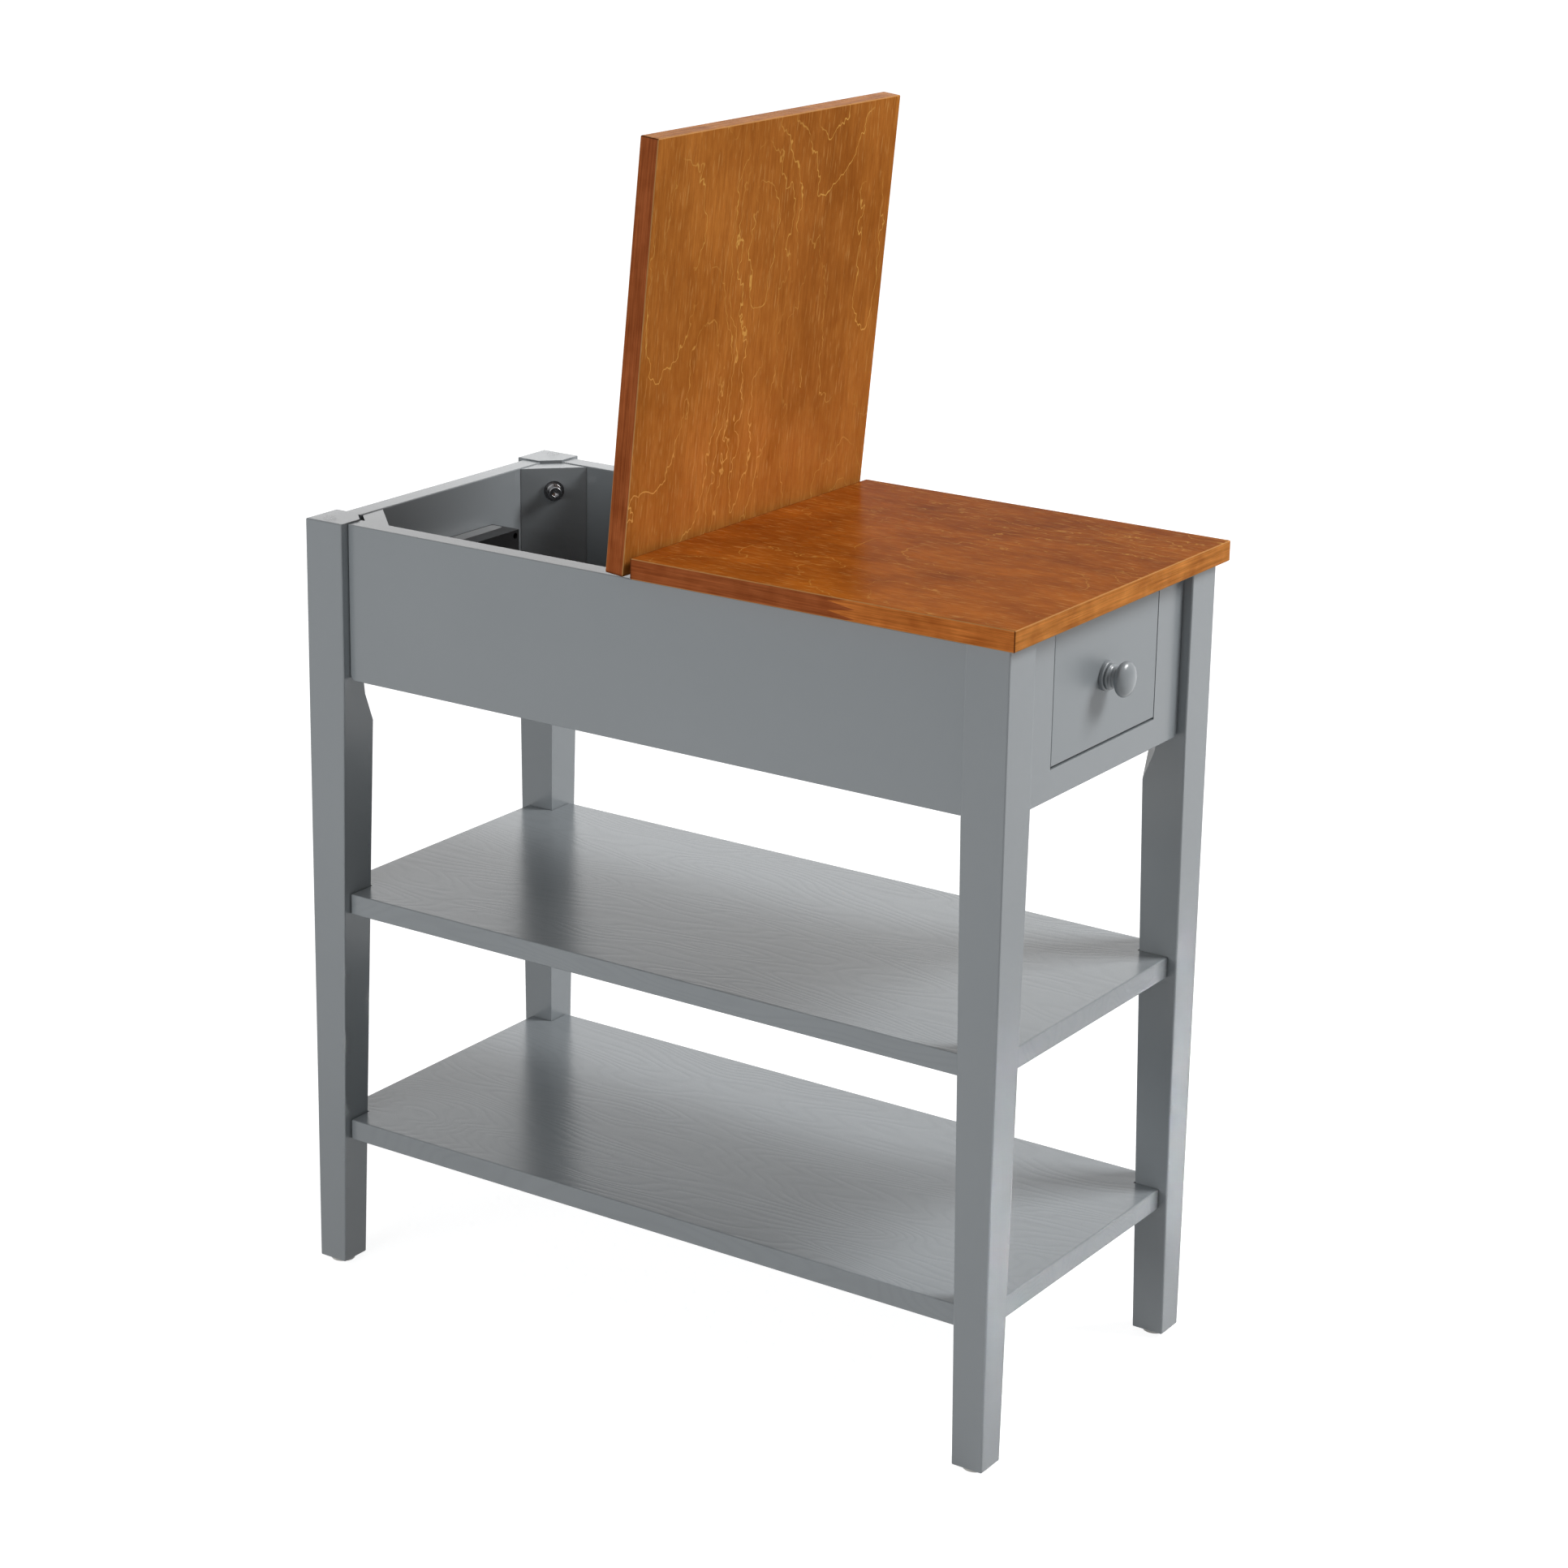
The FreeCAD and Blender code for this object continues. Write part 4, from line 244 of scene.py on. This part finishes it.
# ---------------------------------------------------------------------------
# Corner blocks: a painted board across each corner, pulled against the leg by
# two M6 socket bolts of black-oxide steel, each with a flat washer and a split
# spring washer under its head.
# ---------------------------------------------------------------------------
finish(satin_paint("grey_paint_on_blocks", (160, 160, 9), 0.0001), "corner_block_rear_left",
       "corner_block_rear_right", "corner_block_front_left", "corner_block_front_right")
black_oxide = plastic_or_plating("black_oxide_steel", (0.34, 0.34, 0.35), 0.26, 1.0, grit=900)
finish(black_oxide, "flat_washers")

pole = 0.00002  # radius of the tiny ring that closes a turned shape at its ends


def full_turn(steps):
    """Angles that part a full turn into so many steps."""
    return np.arange(steps) * (2 * np.pi / steps)


def turned(rows, steps, seat, direction):
    """Rings of a shape on an axis through the seat, one for each row (radius, height). Step j of a
    ring stands at the radius, or at radius[j], from the axis, j steps round a full turn, and at the
    height along the axis. The last ring is the top."""
    radius = np.stack([np.broadcast_to(np.asarray(ring_radius, float), steps) for ring_radius, _ in rows])
    height = np.array([ring_height for _, ring_height in rows], float)
    turn = full_turn(steps)
    axis = np.asarray(direction, float) / np.linalg.norm(direction)
    side = np.cross((0, 1, 0) if abs(axis[1]) < 0.9 else (0, 0, 1), axis)
    side = side / np.linalg.norm(side)
    other = np.cross(axis, side)
    ring = np.cos(turn)[:, None] * side + np.sin(turn)[:, None] * other
    return np.asarray(seat) + radius[..., None] * ring + height[:, None, None] * axis


def closed_rings(grids):
    """Points and faces of one mesh from grids of rings, each a skin closed by its first and last
    ring as flat faces. Rings run from the foot to the top, so the faces look outwards."""
    points, faces, first = [], [], 0
    for grid in grids:
        rows, columns = grid.shape[:2]
        skin = np.array(grid_faces(rows, columns, closed=True)) + first
        foot = first + np.arange(columns)[::-1]
        top = first + (rows - 1) * columns + np.arange(columns)
        points.append(grid.reshape(-1, 3))
        faces += skin.tolist() + [foot.tolist(), top.tolist()]
        first += rows * columns
    return np.concatenate(points), faces


def fit_piece(name, grids, material, body, slot, *nodes, sharp=40):
    """Makes one smooth-shaded piece from ring grids, rides it on its body, and lets it stand for
    CAD nodes. Edges sharper than the angle stay crisp."""
    points, faces = closed_rings(grids)
    mesh = bpy.data.meshes.new(name)
    mesh.from_pydata(points.tolist(), [], faces)
    mesh.materials.append(material)
    mesh.shade_smooth()
    mesh.set_sharp_from_angle(angle=math.radians(sharp))
    piece = bpy.data.objects.new(name, mesh)
    scene.collection.objects.link(piece)
    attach(piece, body)
    if nodes:
        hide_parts(*nodes)


def hexagon(turn, reach):
    """Distance to a hexagon's side at each turn, for corners that reach so far: the side's distance
    from the middle, divided by the cosine of the angle from that side's own middle."""
    return reach * math.cos(math.pi / 6) / np.cos((turn % (math.pi / 3)) - math.pi / 6)


legs_middle_x, legs_half_length, legs_half_width = -0.00695, 0.299, 0.143
corners = [(end, side) for end in (-1, 1) for side in (-1, 1)]
bolt_levels = (0.5724, 0.5044)


def corner_point(end, side, setback):
    """Level place on a corner's diagonal, set back so far from the leg's outer faces."""
    return end * (legs_half_length - setback) + legs_middle_x, side * (legs_half_width - setback)


bolt_steps, knurls, knurl_depth = 72, 36, 0.00012
bolt_length, bolt_shank, bolt_tip = 0.037, 0.00295, 0.0022
bolt_head, bolt_top, socket_reach, socket_floor = 0.005, 0.006, 0.0029, 0.003
bolt_turn = full_turn(bolt_steps)
knurl = knurl_depth * np.abs(((bolt_turn * knurls / np.pi) % 2) - 1)
bolt_rows = [
    (pole, -bolt_length), (bolt_tip, -bolt_length), (bolt_shank, -0.0362), (bolt_shank, 0),
    (bolt_head - 0.0003, 0), (bolt_head - 0.00012 - knurl * 0.5, 0.0003),
    (bolt_head - knurl, 0.0006), (bolt_head - knurl, 0.0048), (bolt_head - 0.00018, 0.0057),
    (bolt_head - 0.0006, bolt_top), (hexagon(bolt_turn, socket_reach + 0.0002), bolt_top),
    (hexagon(bolt_turn, socket_reach), 0.0058), (hexagon(bolt_turn, socket_reach), socket_floor),
    (pole, 0.0022)]
bolt_setback = 0.04383
bolts = [turned(bolt_rows, bolt_steps, (*corner_point(end, side, bolt_setback), z), (-end, -side, 0))
         for end, side in corners for z in bolt_levels]
fit_piece("socket_bolts", bolts, black_oxide, "table_frame", "black_steel", "corner_bolts", sharp=30)


def split_ring(middle, outward, inner, outer, thickness, gap, rise):
    """A square-section ring with a gap, bent along its axis like one turn of a coil: at turn t the
    section's middle stands rise * (t / full turn - 1/2) along the axis."""
    steps, bevel, half = 45, 0.0002, thickness / 2
    turn = np.linspace(gap / 2, 2 * np.pi - gap / 2, steps) + np.pi / 2
    axis = np.asarray(outward, float) / np.linalg.norm(outward)
    side = np.cross((0, 0, 1), axis)
    other = np.cross(axis, side)
    line = np.cos(turn)[:, None] * side + np.sin(turn)[:, None] * other
    across_ring = np.array([inner, inner + bevel, outer - bevel, outer,
                            outer, outer - bevel, inner + bevel, inner])
    along = np.array([-half + bevel, -half, -half, -half + bevel, half - bevel, half, half, half - bevel])
    climb = rise * (np.linspace(0, 1, steps) - 0.5)
    points = (across_ring[None, :, None] * line[:, None, :]
              + (along[None, :] + climb[:, None])[..., None] * axis)
    return (np.asarray(middle) + points)[:, ::-1]


washer_setback = 0.043265
spring_washers = [
    split_ring((*corner_point(end, side, washer_setback), z), (-end, -side, 0),
               inner=0.0031, outer=0.0059, thickness=0.0013, gap=0.16, rise=0.0003)
    for end, side in corners for z in bolt_levels]
fit_piece("split_spring_washers", spring_washers, black_oxide, "table_frame", "black_steel",
          "spring_washers", sharp=50)

# ---------------------------------------------------------------------------
# Shelves: solid-wood boards notched round the legs, painted, with the grain
# still to be felt. Steel cams in bores under the ends hold the leg bolts.
# ---------------------------------------------------------------------------
finish(satin_paint("grey_paint_on_upper_shelf", (10, 260, 260), 0.0001, figure=0.4), "upper_shelf")
finish(satin_paint("grey_paint_on_lower_shelf", (10, 260, 260), 0.0001, figure=2.7), "lower_shelf")
finish(zinc_steel, "shelf_cams", "shelf_cam_bolts")

# ---------------------------------------------------------------------------
# Compartment: a divider screwed to cleats on the side aprons, and a painted
# hardboard bottom on two cleats, with a rubber-lined hole for the cord.
# ---------------------------------------------------------------------------
finish(cross_paint, "compartment_divider", "divider_cleats")
finish(board_paint, "compartment_bottom", "bottom_cleats")
soft_black = plastic_or_plating("black_rubber", (0.018, 0.018, 0.018), 0.6, grit=1200)
finish(soft_black, "cord_grommet")

# ---------------------------------------------------------------------------
# Power unit: a moulded black housing behind the rear apron, an outer plate with
# two mains sockets and two charging ports, and a rubber gland for its cord. A
# plain grey strip is stuck along the housing's top.
# ---------------------------------------------------------------------------
moulded_black = plastic_or_plating("black_moulded_plastic", (0.02, 0.02, 0.021), 0.38, grit=1500)
finish(moulded_black, "power_housing", "power_bezel", "socket_body")
finish(soft_black, "cord_gland")
finish(pale_nylon, "usb_tongues")


def cross_recess(turn, reach, half_width):
    """Distance to the outline of an upright cross at each turn: the farther of its two bars, where
    a bar's edge is the nearer of its end, reach over the cosine, and its side, half_width over the
    sine."""
    c, s = np.abs(np.cos(turn)) + 1e-9, np.abs(np.sin(turn)) + 1e-9
    return np.maximum(np.minimum(reach / c, half_width / s), np.minimum(reach / s, half_width / c))


def pan_screws(places, length, head_radius=0.0034, head_height=0.002, shank_radius=0.0017):
    """Pan-head screws with a cross recess. A place is a seat, which is under the head, and the
    direction that the shank points in. Rings run up the shank, out under the head, over its crown
    and down into the recess, at shares of the head's radius and height."""
    steps, r, h = 40, head_radius, head_height
    turn = full_turn(steps)
    rows = [(pole, -length), (shank_radius * 0.3, -length + shank_radius * 0.5),
            (shank_radius, -length + shank_radius * 2.4), (shank_radius, 0),
            (r * 0.97, 0), (r, h * 0.12), (r * 0.97, h * 0.45), (r * 0.86, h * 0.78), (r * 0.7, h * 0.94),
            (cross_recess(turn, r * 0.62, r * 0.13), h * 0.97),
            (cross_recess(turn, r * 0.3, r * 0.1), h * 0.4), (pole, h * 0.38)]
    return [turned(rows, steps, seat, -np.asarray(direction, float)) for seat, direction in places]


bezel_face, bezel_level = -0.30145, 0.5322
bezel_places = [((bezel_face, y, bezel_level), (1, 0, 0)) for y in (-0.045, 0.045)]
fit_piece("bezel_pan_screws", pan_screws(bezel_places, 0.0125), black_oxide,
          "table_frame", "zinc_steel", "bezel_screws", sharp=35)
housing_seat = -0.27695
housing_places = [((housing_seat, y, z), (-1, 0, 0)) for y in (-0.043, 0.043) for z in (0.5157, 0.5487)]
fit_piece("housing_pan_screws", pan_screws(housing_places, 0.016, head_radius=0.0022, shank_radius=0.0014),
          zinc_steel, "table_frame", "zinc_steel", "housing_screws", sharp=35)

# The strip's outline at turn t is half its length or width times the cosine or sine of t, raised to
# a small power that squares the ellipse off and leaves its corners a little round.
strip_low, strip_high = np.array((-0.28155, -0.0435, 0.5532)), np.array((-0.2705, 0.0455, 0.55335))
strip_half, strip_middle = (strip_high - strip_low) / 2, (strip_high + strip_low) / 2
strip_corner, strip_steps = 0.0012, 32
strip_power = strip_corner / strip_half[:2].min()
strip_x, strip_y = [np.sign(share) * np.abs(share) ** strip_power * half for share, half in
                    ((np.cos(full_turn(strip_steps)), strip_half[0]),
                     (np.sin(full_turn(strip_steps)), strip_half[1]))]
strip_grid = np.stack([np.stack([strip_middle[0] + strip_x, strip_middle[1] + strip_y,
                                 np.full(strip_steps, z)], -1) for z in (strip_low[2], strip_high[2])])
strip_plastic = plastic_or_plating("grey_strip_plastic", (0.36, 0.37, 0.375), 0.35, grit=900)
fit_piece("housing_strip", [strip_grid], strip_plastic, "table_frame", "pale_plastic")

# ---------------------------------------------------------------------------
# Fixed top: board veneered in maple and lipped with solid wood all round, the
# lipping finger-jointed and mitred at the corners, stained honey brown under a
# thin lacquer. Four angle brackets screw it to the side aprons.
# ---------------------------------------------------------------------------
def stained_panel(name, seed, dark, pale, lively, flecks, joint_at, seam_at, hinge=None, opened=0.0):
    """Stained veneer with solid lipping, on a panel that lies flat with its grain along x. A panel
    that stands open is first turned back about its hinge by the angle it is opened. The seed moves
    every noise, and all tones are shares of the one before.

    Veneer: tone mottles between dark and pale in long soft patches, then in broad ones, in small
    clouds, in streaks and in short pores along the grain. Pale flecks, of the strength flecks, lie
    along it too. Growth rings are the height lines of a long smooth noise, whose places are first
    moved across by a finer one; each is as thin everywhere, because the height that is left to the
    next line is divided by the slope. They are pale, of the strength lively, and show in patches.
    Lipping: finer straight streaks along each edge, in two tones that meet in pointed fingers at
    x = joint_at; a pale painted highlight on the arris all round, a dark line where two lippings meet
    at a corner, and a dark painted shadow on the edge at x = seam_at, where the lid and the fixed top
    meet. The lacquer on the flat is thinner, so its sheen is lower than the edges'."""
    material, node = start_material(name)

    def calc(operation, first, second=0.0, third=0.0):
        return node("Math", {0: first, 1: second, 2: third}, operation=operation)

    def fade(value, low, high, at_low=0.0, at_high=1.0):
        return node("MapRange", {"Value": value, "From Min": low, "From Max": high,
                                 "To Min": at_low, "To Max": at_high})

    def noise(scale, detail, rough=0.5, shift=0.0):
        moved = node("Mapping", {"Vector": place, "Scale": scale, "Location": (seed + shift, shift, seed)})
        return node("TexNoise", {"Vector": moved, "Scale": 1, "Detail": detail, "Roughness": rough})

    def blend(factor, first, second, way="MIX"):
        return node("Mix", {0: factor, 6: first, 7: second}, 2, data_type="RGBA", blend_type=way)

    def toned(colour, value, least, most):
        factors = {i: fade(value, 0.3, 0.7, low, high) for i, (low, high) in enumerate(zip(least, most))}
        return blend(1.0, colour, node("CombineColor", factors), "MULTIPLY")

    place, facing = node("TexCoord", out="Object"), node("TexCoord", out="Normal")
    if hinge is not None:
        turned_back = {"Axis": (0, -1, 0), "Angle": opened}
        place = node("VectorRotate", {"Vector": place, "Center": hinge, **turned_back})
        facing = node("VectorRotate", {"Vector": facing, **turned_back})
    x, z = node("SeparateXYZ", {0: place}, "X"), node("SeparateXYZ", {0: place}, "Z")
    toward_x, toward_y, toward_z = [
        calc("ABSOLUTE", node("SeparateXYZ", {0: facing}, axis)) for axis in ("X", "Y", "Z")]

    veneer = blend(fade(noise((14, 26, 26), 4, 0.6), 0.3, 0.7), dark, pale)
    broad = noise((3, 7, 7), 1, 0.5, 21.0)
    veneer = toned(veneer, broad, (1.10, 1.11, 1.12), (0.84, 0.80, 0.78))
    clouds = noise((55, 170, 170), 3, 0.6, 4.0)
    veneer = toned(veneer, clouds, (0.90, 0.86, 0.83), (1.08, 1.12, 1.15))
    streaks = noise((16, 330, 330), 3, 0.65, 3.0)
    veneer = toned(veneer, streaks, (0.95, 0.94, 0.93), (1.05, 1.06, 1.07))
    pores = noise((34, 900, 900), 3, 0.65, 2.0)
    veneer = toned(veneer, pores, (0.88, 0.84, 0.80), (1.12, 1.16, 1.20))
    dashes = fade(noise((70, 600, 600), 2, 0.5, 18.0), 0.58, 0.72)
    fleck_tone = (0.78, 0.42, 0.13, 1)
    veneer = blend(calc("MULTIPLY", dashes, flecks), veneer, fleck_tone)

    ring_density, ring_wander, ring_tone = 14.0, 0.045, (0.72, 0.37, 0.085, 1)
    step_x, step_y, least_slope = 0.003, 0.001, 0.05
    ragged = noise((26, 40, 40), 3, 0.62, 6.0)
    sideways = node("CombineXYZ", {1: calc("MULTIPLY", calc("SUBTRACT", ragged, 0.5), ring_wander)})
    bent = node("VectorMath", {0: place, 1: sideways}, operation="ADD")
    heights = []
    for step in ((0, 0, 0), (step_x, 0, 0), (0, step_y, 0)):
        spot = node("VectorMath", {0: bent, 1: step}, operation="ADD")
        spot = node("Mapping", {"Vector": spot, "Scale": (3.6, 11, 11), "Location": (seed, 8.0, seed)})
        heights.append(node("TexNoise", {"Vector": spot, "Scale": 1, "Detail": 0.6, "Roughness": 0.4}))
    slope_x = calc("MULTIPLY", calc("SUBTRACT", heights[1], heights[0]), 1 / step_x)
    slope_y = calc("MULTIPLY", calc("SUBTRACT", heights[2], heights[0]), 1 / step_y)
    slope = calc("SQRT", calc("MULTIPLY_ADD", slope_x, slope_x, calc("MULTIPLY", slope_y, slope_y)))
    past_line = calc("PINGPONG", calc("MULTIPLY", heights[0], ring_density), 0.5)
    from_line = calc("DIVIDE", calc("DIVIDE", past_line, ring_density), calc("MAXIMUM", slope, least_slope))
    shown = fade(noise((9, 18, 18), 2, 0.6, 10.0), 0.38, 0.54)
    rings = calc("MULTIPLY", fade(from_line, 0.0002, 0.0006, 1, 0), shown)
    veneer = blend(calc("MULTIPLY", rings, lively), veneer, ring_tone)

    lip_least, lip_most = (0.60, 0.54, 0.48), (1.26, 1.32, 1.36)
    finger_foot, finger_half_pitch, finger_slant, joint_blur = 0.6002, 0.0034, 6.4, 0.0003
    end_tone = (0.60, 0.22, 0.048, 1)
    before_joint, after_joint = (0.40, 0.107, 0.032, 1), (0.66, 0.20, 0.042, 1)
    along_x = noise((16, 700, 700), 4, 0.65, 12.0)
    along_y = noise((700, 16, 700), 4, 0.65, 14.0)
    patches = noise((60, 60, 60), 2, 0.5, 15.0)
    zigzag = calc("PINGPONG", calc("SUBTRACT", z, finger_foot), finger_half_pitch)
    joint_x = calc("ADD", calc("MULTIPLY", zigzag, finger_slant), joint_at)
    past_joint = fade(calc("SUBTRACT", x, joint_x), -joint_blur, joint_blur)
    long_lip = toned(blend(past_joint, before_joint, after_joint), along_x, lip_least, lip_most)
    end_lip = toned(end_tone, along_y, lip_least, lip_most)
    lipping = blend(fade(toward_x, 0.6, 0.8), long_lip, end_lip)
    lipping = toned(lipping, patches, (0.84, 0.78, 0.74), (1.12, 1.16, 1.20))

    # arris_highlight_tone is a painted highlight: the light that the rounded arris catches, laid on as a
    # paler colour over the faces that slope between flat and upright.
    arris_highlight_tone = (0.74, 0.42, 0.17, 1)
    # seam_shadow_tone is a painted shadow: the shade in the gap where the lid and the fixed top meet.
    # mitre_tone is the dark joint line where two lippings meet at a corner.
    seam_shadow_tone, mitre_tone = (0.08, 0.026, 0.008, 1), (0.07, 0.018, 0.006, 1)
    arris = calc("MULTIPLY", fade(toward_z, 0.2, 0.4), fade(toward_z, 0.85, 0.95, 1, 0))
    # Where the painted seam shadow lies: darkest within 0.4 mm of the edge at x = seam_at, gone by 2 mm.
    seam_shadow_mask = fade(calc("ABSOLUTE", calc("SUBTRACT", x, seam_at)), 0.0004, 0.002, 0.85, 0)
    mitre = fade(calc("MINIMUM", toward_x, toward_y), 0.2, 0.4)
    colour = blend(fade(toward_z, 0.4, 0.6), lipping, veneer)
    colour = blend(calc("MULTIPLY", arris, 0.55), colour, arris_highlight_tone)
    colour = blend(seam_shadow_mask, colour, seam_shadow_tone)
    colour = blend(calc("MULTIPLY", mitre, 0.8), colour, mitre_tone)

    skin = node("Bump", {"Strength": 0.2, "Distance": 0.0001, "Height": pores})
    gloss = fade(clouds, 0.3, 0.7, 0.22, 0.3)
    sheen = fade(toward_z, 0.6, 0.8, 0.007, 0.0016)
    shader = node("BsdfPrincipled", {"Base Color": colour, "Roughness": gloss, "Normal": skin, "IOR": 1.5,
                                     "Specular IOR Level": sheen})
    node("OutputMaterial", {"Surface": shader})
    return material


fixed_top_dark, fixed_top_pale = (0.290, 0.072, 0.0088, 1), (0.47, 0.134, 0.0155, 1)
finish(stained_panel("stained_fixed_top", 3.1, fixed_top_dark, fixed_top_pale,
                     lively=0.5, flecks=0.4, joint_at=0.155, seam_at=-0.00695), "fixed_top")
finish(zinc_steel, "top_brackets")
bracket_x = (0.03805, 0.18805)
bracket_places = [((x, side * 0.118, 0.583), (0, side, 0)) for x in bracket_x for side in (-1, 1)]
bracket_places += [((x, side * 0.108, 0.593), (0, 0, 1)) for x in bracket_x for side in (-1, 1)]
fit_piece("bracket_pan_screws", pan_screws(bracket_places, 0.011), zinc_steel,
          "table_frame", "zinc_steel", "bracket_screws", sharp=35)

# ---------------------------------------------------------------------------
# Lid: the same veneered and lipped board, on two nickel-plated cup hinges. The
# arms are screwed to the divider and the cups let into the lid's underside. Two
# clear soft domes on the rear legs keep it off the frame.
# ---------------------------------------------------------------------------
lid_open = math.radians(95.3)
hinge_line = (-0.01735, 0.0, 0.6048)
lid_dark, lid_pale = (0.37, 0.120, 0.019, 1), (0.49, 0.173, 0.032, 1)
finish(stained_panel("stained_lid", 7.7, lid_dark, lid_pale, lively=1.0, flecks=0.3, joint_at=0.60,
                     seam_at=-0.00845, hinge=hinge_line, opened=lid_open), "lid")
nickel_steel = plastic_or_plating("nickel_plated_steel", (0.66, 0.64, 0.60), 0.2, 1.0, grit=700)
finish(nickel_steel, "hinge_arms", "hinge_cups", "hinge_pins")
arm_face, hinge_y = -0.02555, 0.09
arm_places = [((arm_face, side * hinge_y, z), (1, 0, 0)) for side in (-1, 1) for z in (0.5676, 0.5816)]
fit_piece("arm_pan_screws", pan_screws(arm_places, 0.0116), nickel_steel,
          "table_frame", "zinc_steel", "hinge_arm_screws", sharp=35)
cup_x, cup_z, cup_screw_reach = -0.026985, 0.61785, 0.023
into_lid = (math.sin(lid_open), 0, math.cos(lid_open))
cup_places = [((cup_x, side * y, cup_z), into_lid)
              for side in (-1, 1) for y in (hinge_y - cup_screw_reach, hinge_y + cup_screw_reach)]
fit_piece("cup_pan_screws", pan_screws(cup_places, 0.01), nickel_steel,
          "lid_leaf", "zinc_steel", "hinge_cup_screws", sharp=35)

clear_rubber, node = start_material("clear_rubber")
haze = node("TexNoise", {"Vector": node("TexCoord", out="Object"), "Scale": 600, "Detail": 2})
haze_tint = node("Mix", {0: haze, 6: (0.70, 0.71, 0.71, 1), 7: (0.80, 0.80, 0.79, 1)}, 2, data_type="RGBA")
node("OutputMaterial", {"Surface": node("BsdfPrincipled", {
    "Base Color": haze_tint, "Roughness": node("MapRange", {"Value": haze, "To Min": 0.15, "To Max": 0.3}),
    "IOR": 1.3, "Alpha": node("MapRange", {"Value": haze, "To Min": 0.03, "To Max": 0.08})})})
dome_flat, dome_round, dome_rise, dome_steps = 0.0018, 0.0032, 0.0026, 32
dome_bend = np.linspace(0, np.pi / 2, 9)
dome_rows = [(pole, 0), *zip(dome_flat + dome_round * np.cos(dome_bend), dome_rise * np.sin(dome_bend)),
             (pole, dome_rise)]
domes = [turned(dome_rows, dome_steps, (-0.28995, side * 0.134, 0.5921), (0, 0, 1)) for side in (-1, 1)]
fit_piece("clear_domes", domes, clear_rubber, "table_frame", "clear_plastic", "lid_bumpers", sharp=60)

# ---------------------------------------------------------------------------
# Drawer: a painted front on a plain pale wood box, dowelled and screwed, with
# a thin plywood bottom in grooves, on two plain wood runners.
# ---------------------------------------------------------------------------
def bare_wood(name, stretch, pale, dark):
    """Unpainted wood: straight streaks long in the grain, in two tones, with a soft drift."""
    material, node = start_material(name)
    place = node("TexCoord", out="Object")
    grain_way = node("Mapping", {"Vector": place, "Scale": stretch})
    streaks = node("TexNoise", {"Vector": grain_way, "Scale": 1, "Detail": 5, "Roughness": 0.6,
                                "Distortion": 0.3})
    drift = node("TexNoise", {"Vector": place, "Scale": 14, "Detail": 2})
    drift_share = node("Math", {0: drift, 1: 0.3}, operation="MULTIPLY")
    mixed = node("Math", {0: streaks, 1: 0.7, 2: drift_share}, operation="MULTIPLY_ADD")
    tone = node("MapRange", {"Value": mixed, "From Min": 0.35, "From Max": 0.65})
    colour = node("Mix", {0: tone, 6: dark, 7: pale}, 2, data_type="RGBA")
    skin = node("Bump", {"Strength": 0.4, "Distance": 0.0002, "Height": streaks})
    gloss = node("MapRange", {"Value": streaks, "To Min": 0.45, "To Max": 0.6})
    node("OutputMaterial", {"Surface": node("BsdfPrincipled", {
        "Base Color": colour, "Roughness": gloss, "Normal": skin})})
    return material


finish(satin_paint("grey_paint_on_drawer", (200, 10, 200), 0.0001, dull=0.14), "drawer_front")
pine_pale, pine_dark = (0.60, 0.43, 0.25, 1), (0.47, 0.31, 0.16, 1)
ply_pale, ply_dark = (0.62, 0.47, 0.30, 1), (0.52, 0.37, 0.21, 1)
finish(bare_wood("pale_wood_along", (9, 240, 240), pine_pale, pine_dark),
       "drawer_side_left", "drawer_side_right", "drawer_runner_left", "drawer_runner_right",
       "drawer_catches", "drawer_stops")
finish(bare_wood("pale_wood_across", (240, 9, 240), pine_pale, pine_dark), "drawer_back", "drawer_dowels")
finish(bare_wood("thin_plywood", (30, 6, 150), ply_pale, ply_dark), "drawer_bottom")
back_screw_x, drawer_side_y = 0.00705, 0.066
back_places = [((back_screw_x, side * drawer_side_y, z), (0, -side, 0))
               for side in (-1, 1) for z in (0.5282, 0.564)]
fit_piece("back_pan_screws", pan_screws(back_places, 0.022), zinc_steel,
          "drawer", "zinc_steel", "drawer_back_screws", sharp=35)

# ---------------------------------------------------------------------------
# Knob: turned from wood on one axis, a rounded foot, a bead, a hollow neck and
# a flattened ball, sprayed like the front. One machine screw from inside.
# ---------------------------------------------------------------------------
def arc(middle, reach, start, stop, count):
    """Points on an ellipse arc as (radius, height): middle + reach * (cos a, sin a)."""
    a = np.radians(np.linspace(start, stop, count))
    return np.stack([middle[0] + reach[0] * np.cos(a), middle[1] + reach[1] * np.sin(a)], -1)


knob_level, drawer_face, screw_seat = 0.5430, 0.28505, 0.26905
knob_rows = np.concatenate([
    [(pole, 0), (0.0101, 0)],
    arc((0.0101, 0.0005), (0.0005, 0.0005), -90, 0, 4),
    arc((0.0096, 0.0021), (0.0010, 0.0010), 0, 90, 6),
    [(0.0088, 0.0031)],
    arc((0.0080, 0.0044), (0.0013, 0.0013), -80, 80, 12),
    arc((0.0088, 0.0073), (0.0016, 0.0016), 240, 150, 10),
    arc((0, 0.0150), (0.01265, 0.0059), -60, 89.8, 44)])
knob_rings = turned(knob_rows, 96, (drawer_face, 0, knob_level), (1, 0, 0))
fit_piece("turned_knob", [knob_rings], satin_paint("grey_paint_on_knob", (40, 300, 300), 0.00005),
          "drawer", "grey_paint", "knob", sharp=50)
knob_screw = pan_screws([((screw_seat, 0, knob_level), (1, 0, 0))], 0.028,
                        head_radius=0.004, head_height=0.0024, shank_radius=0.002)
fit_piece("knob_pan_screw", knob_screw, zinc_steel, "drawer", "zinc_steel", "knob_screw", sharp=35)
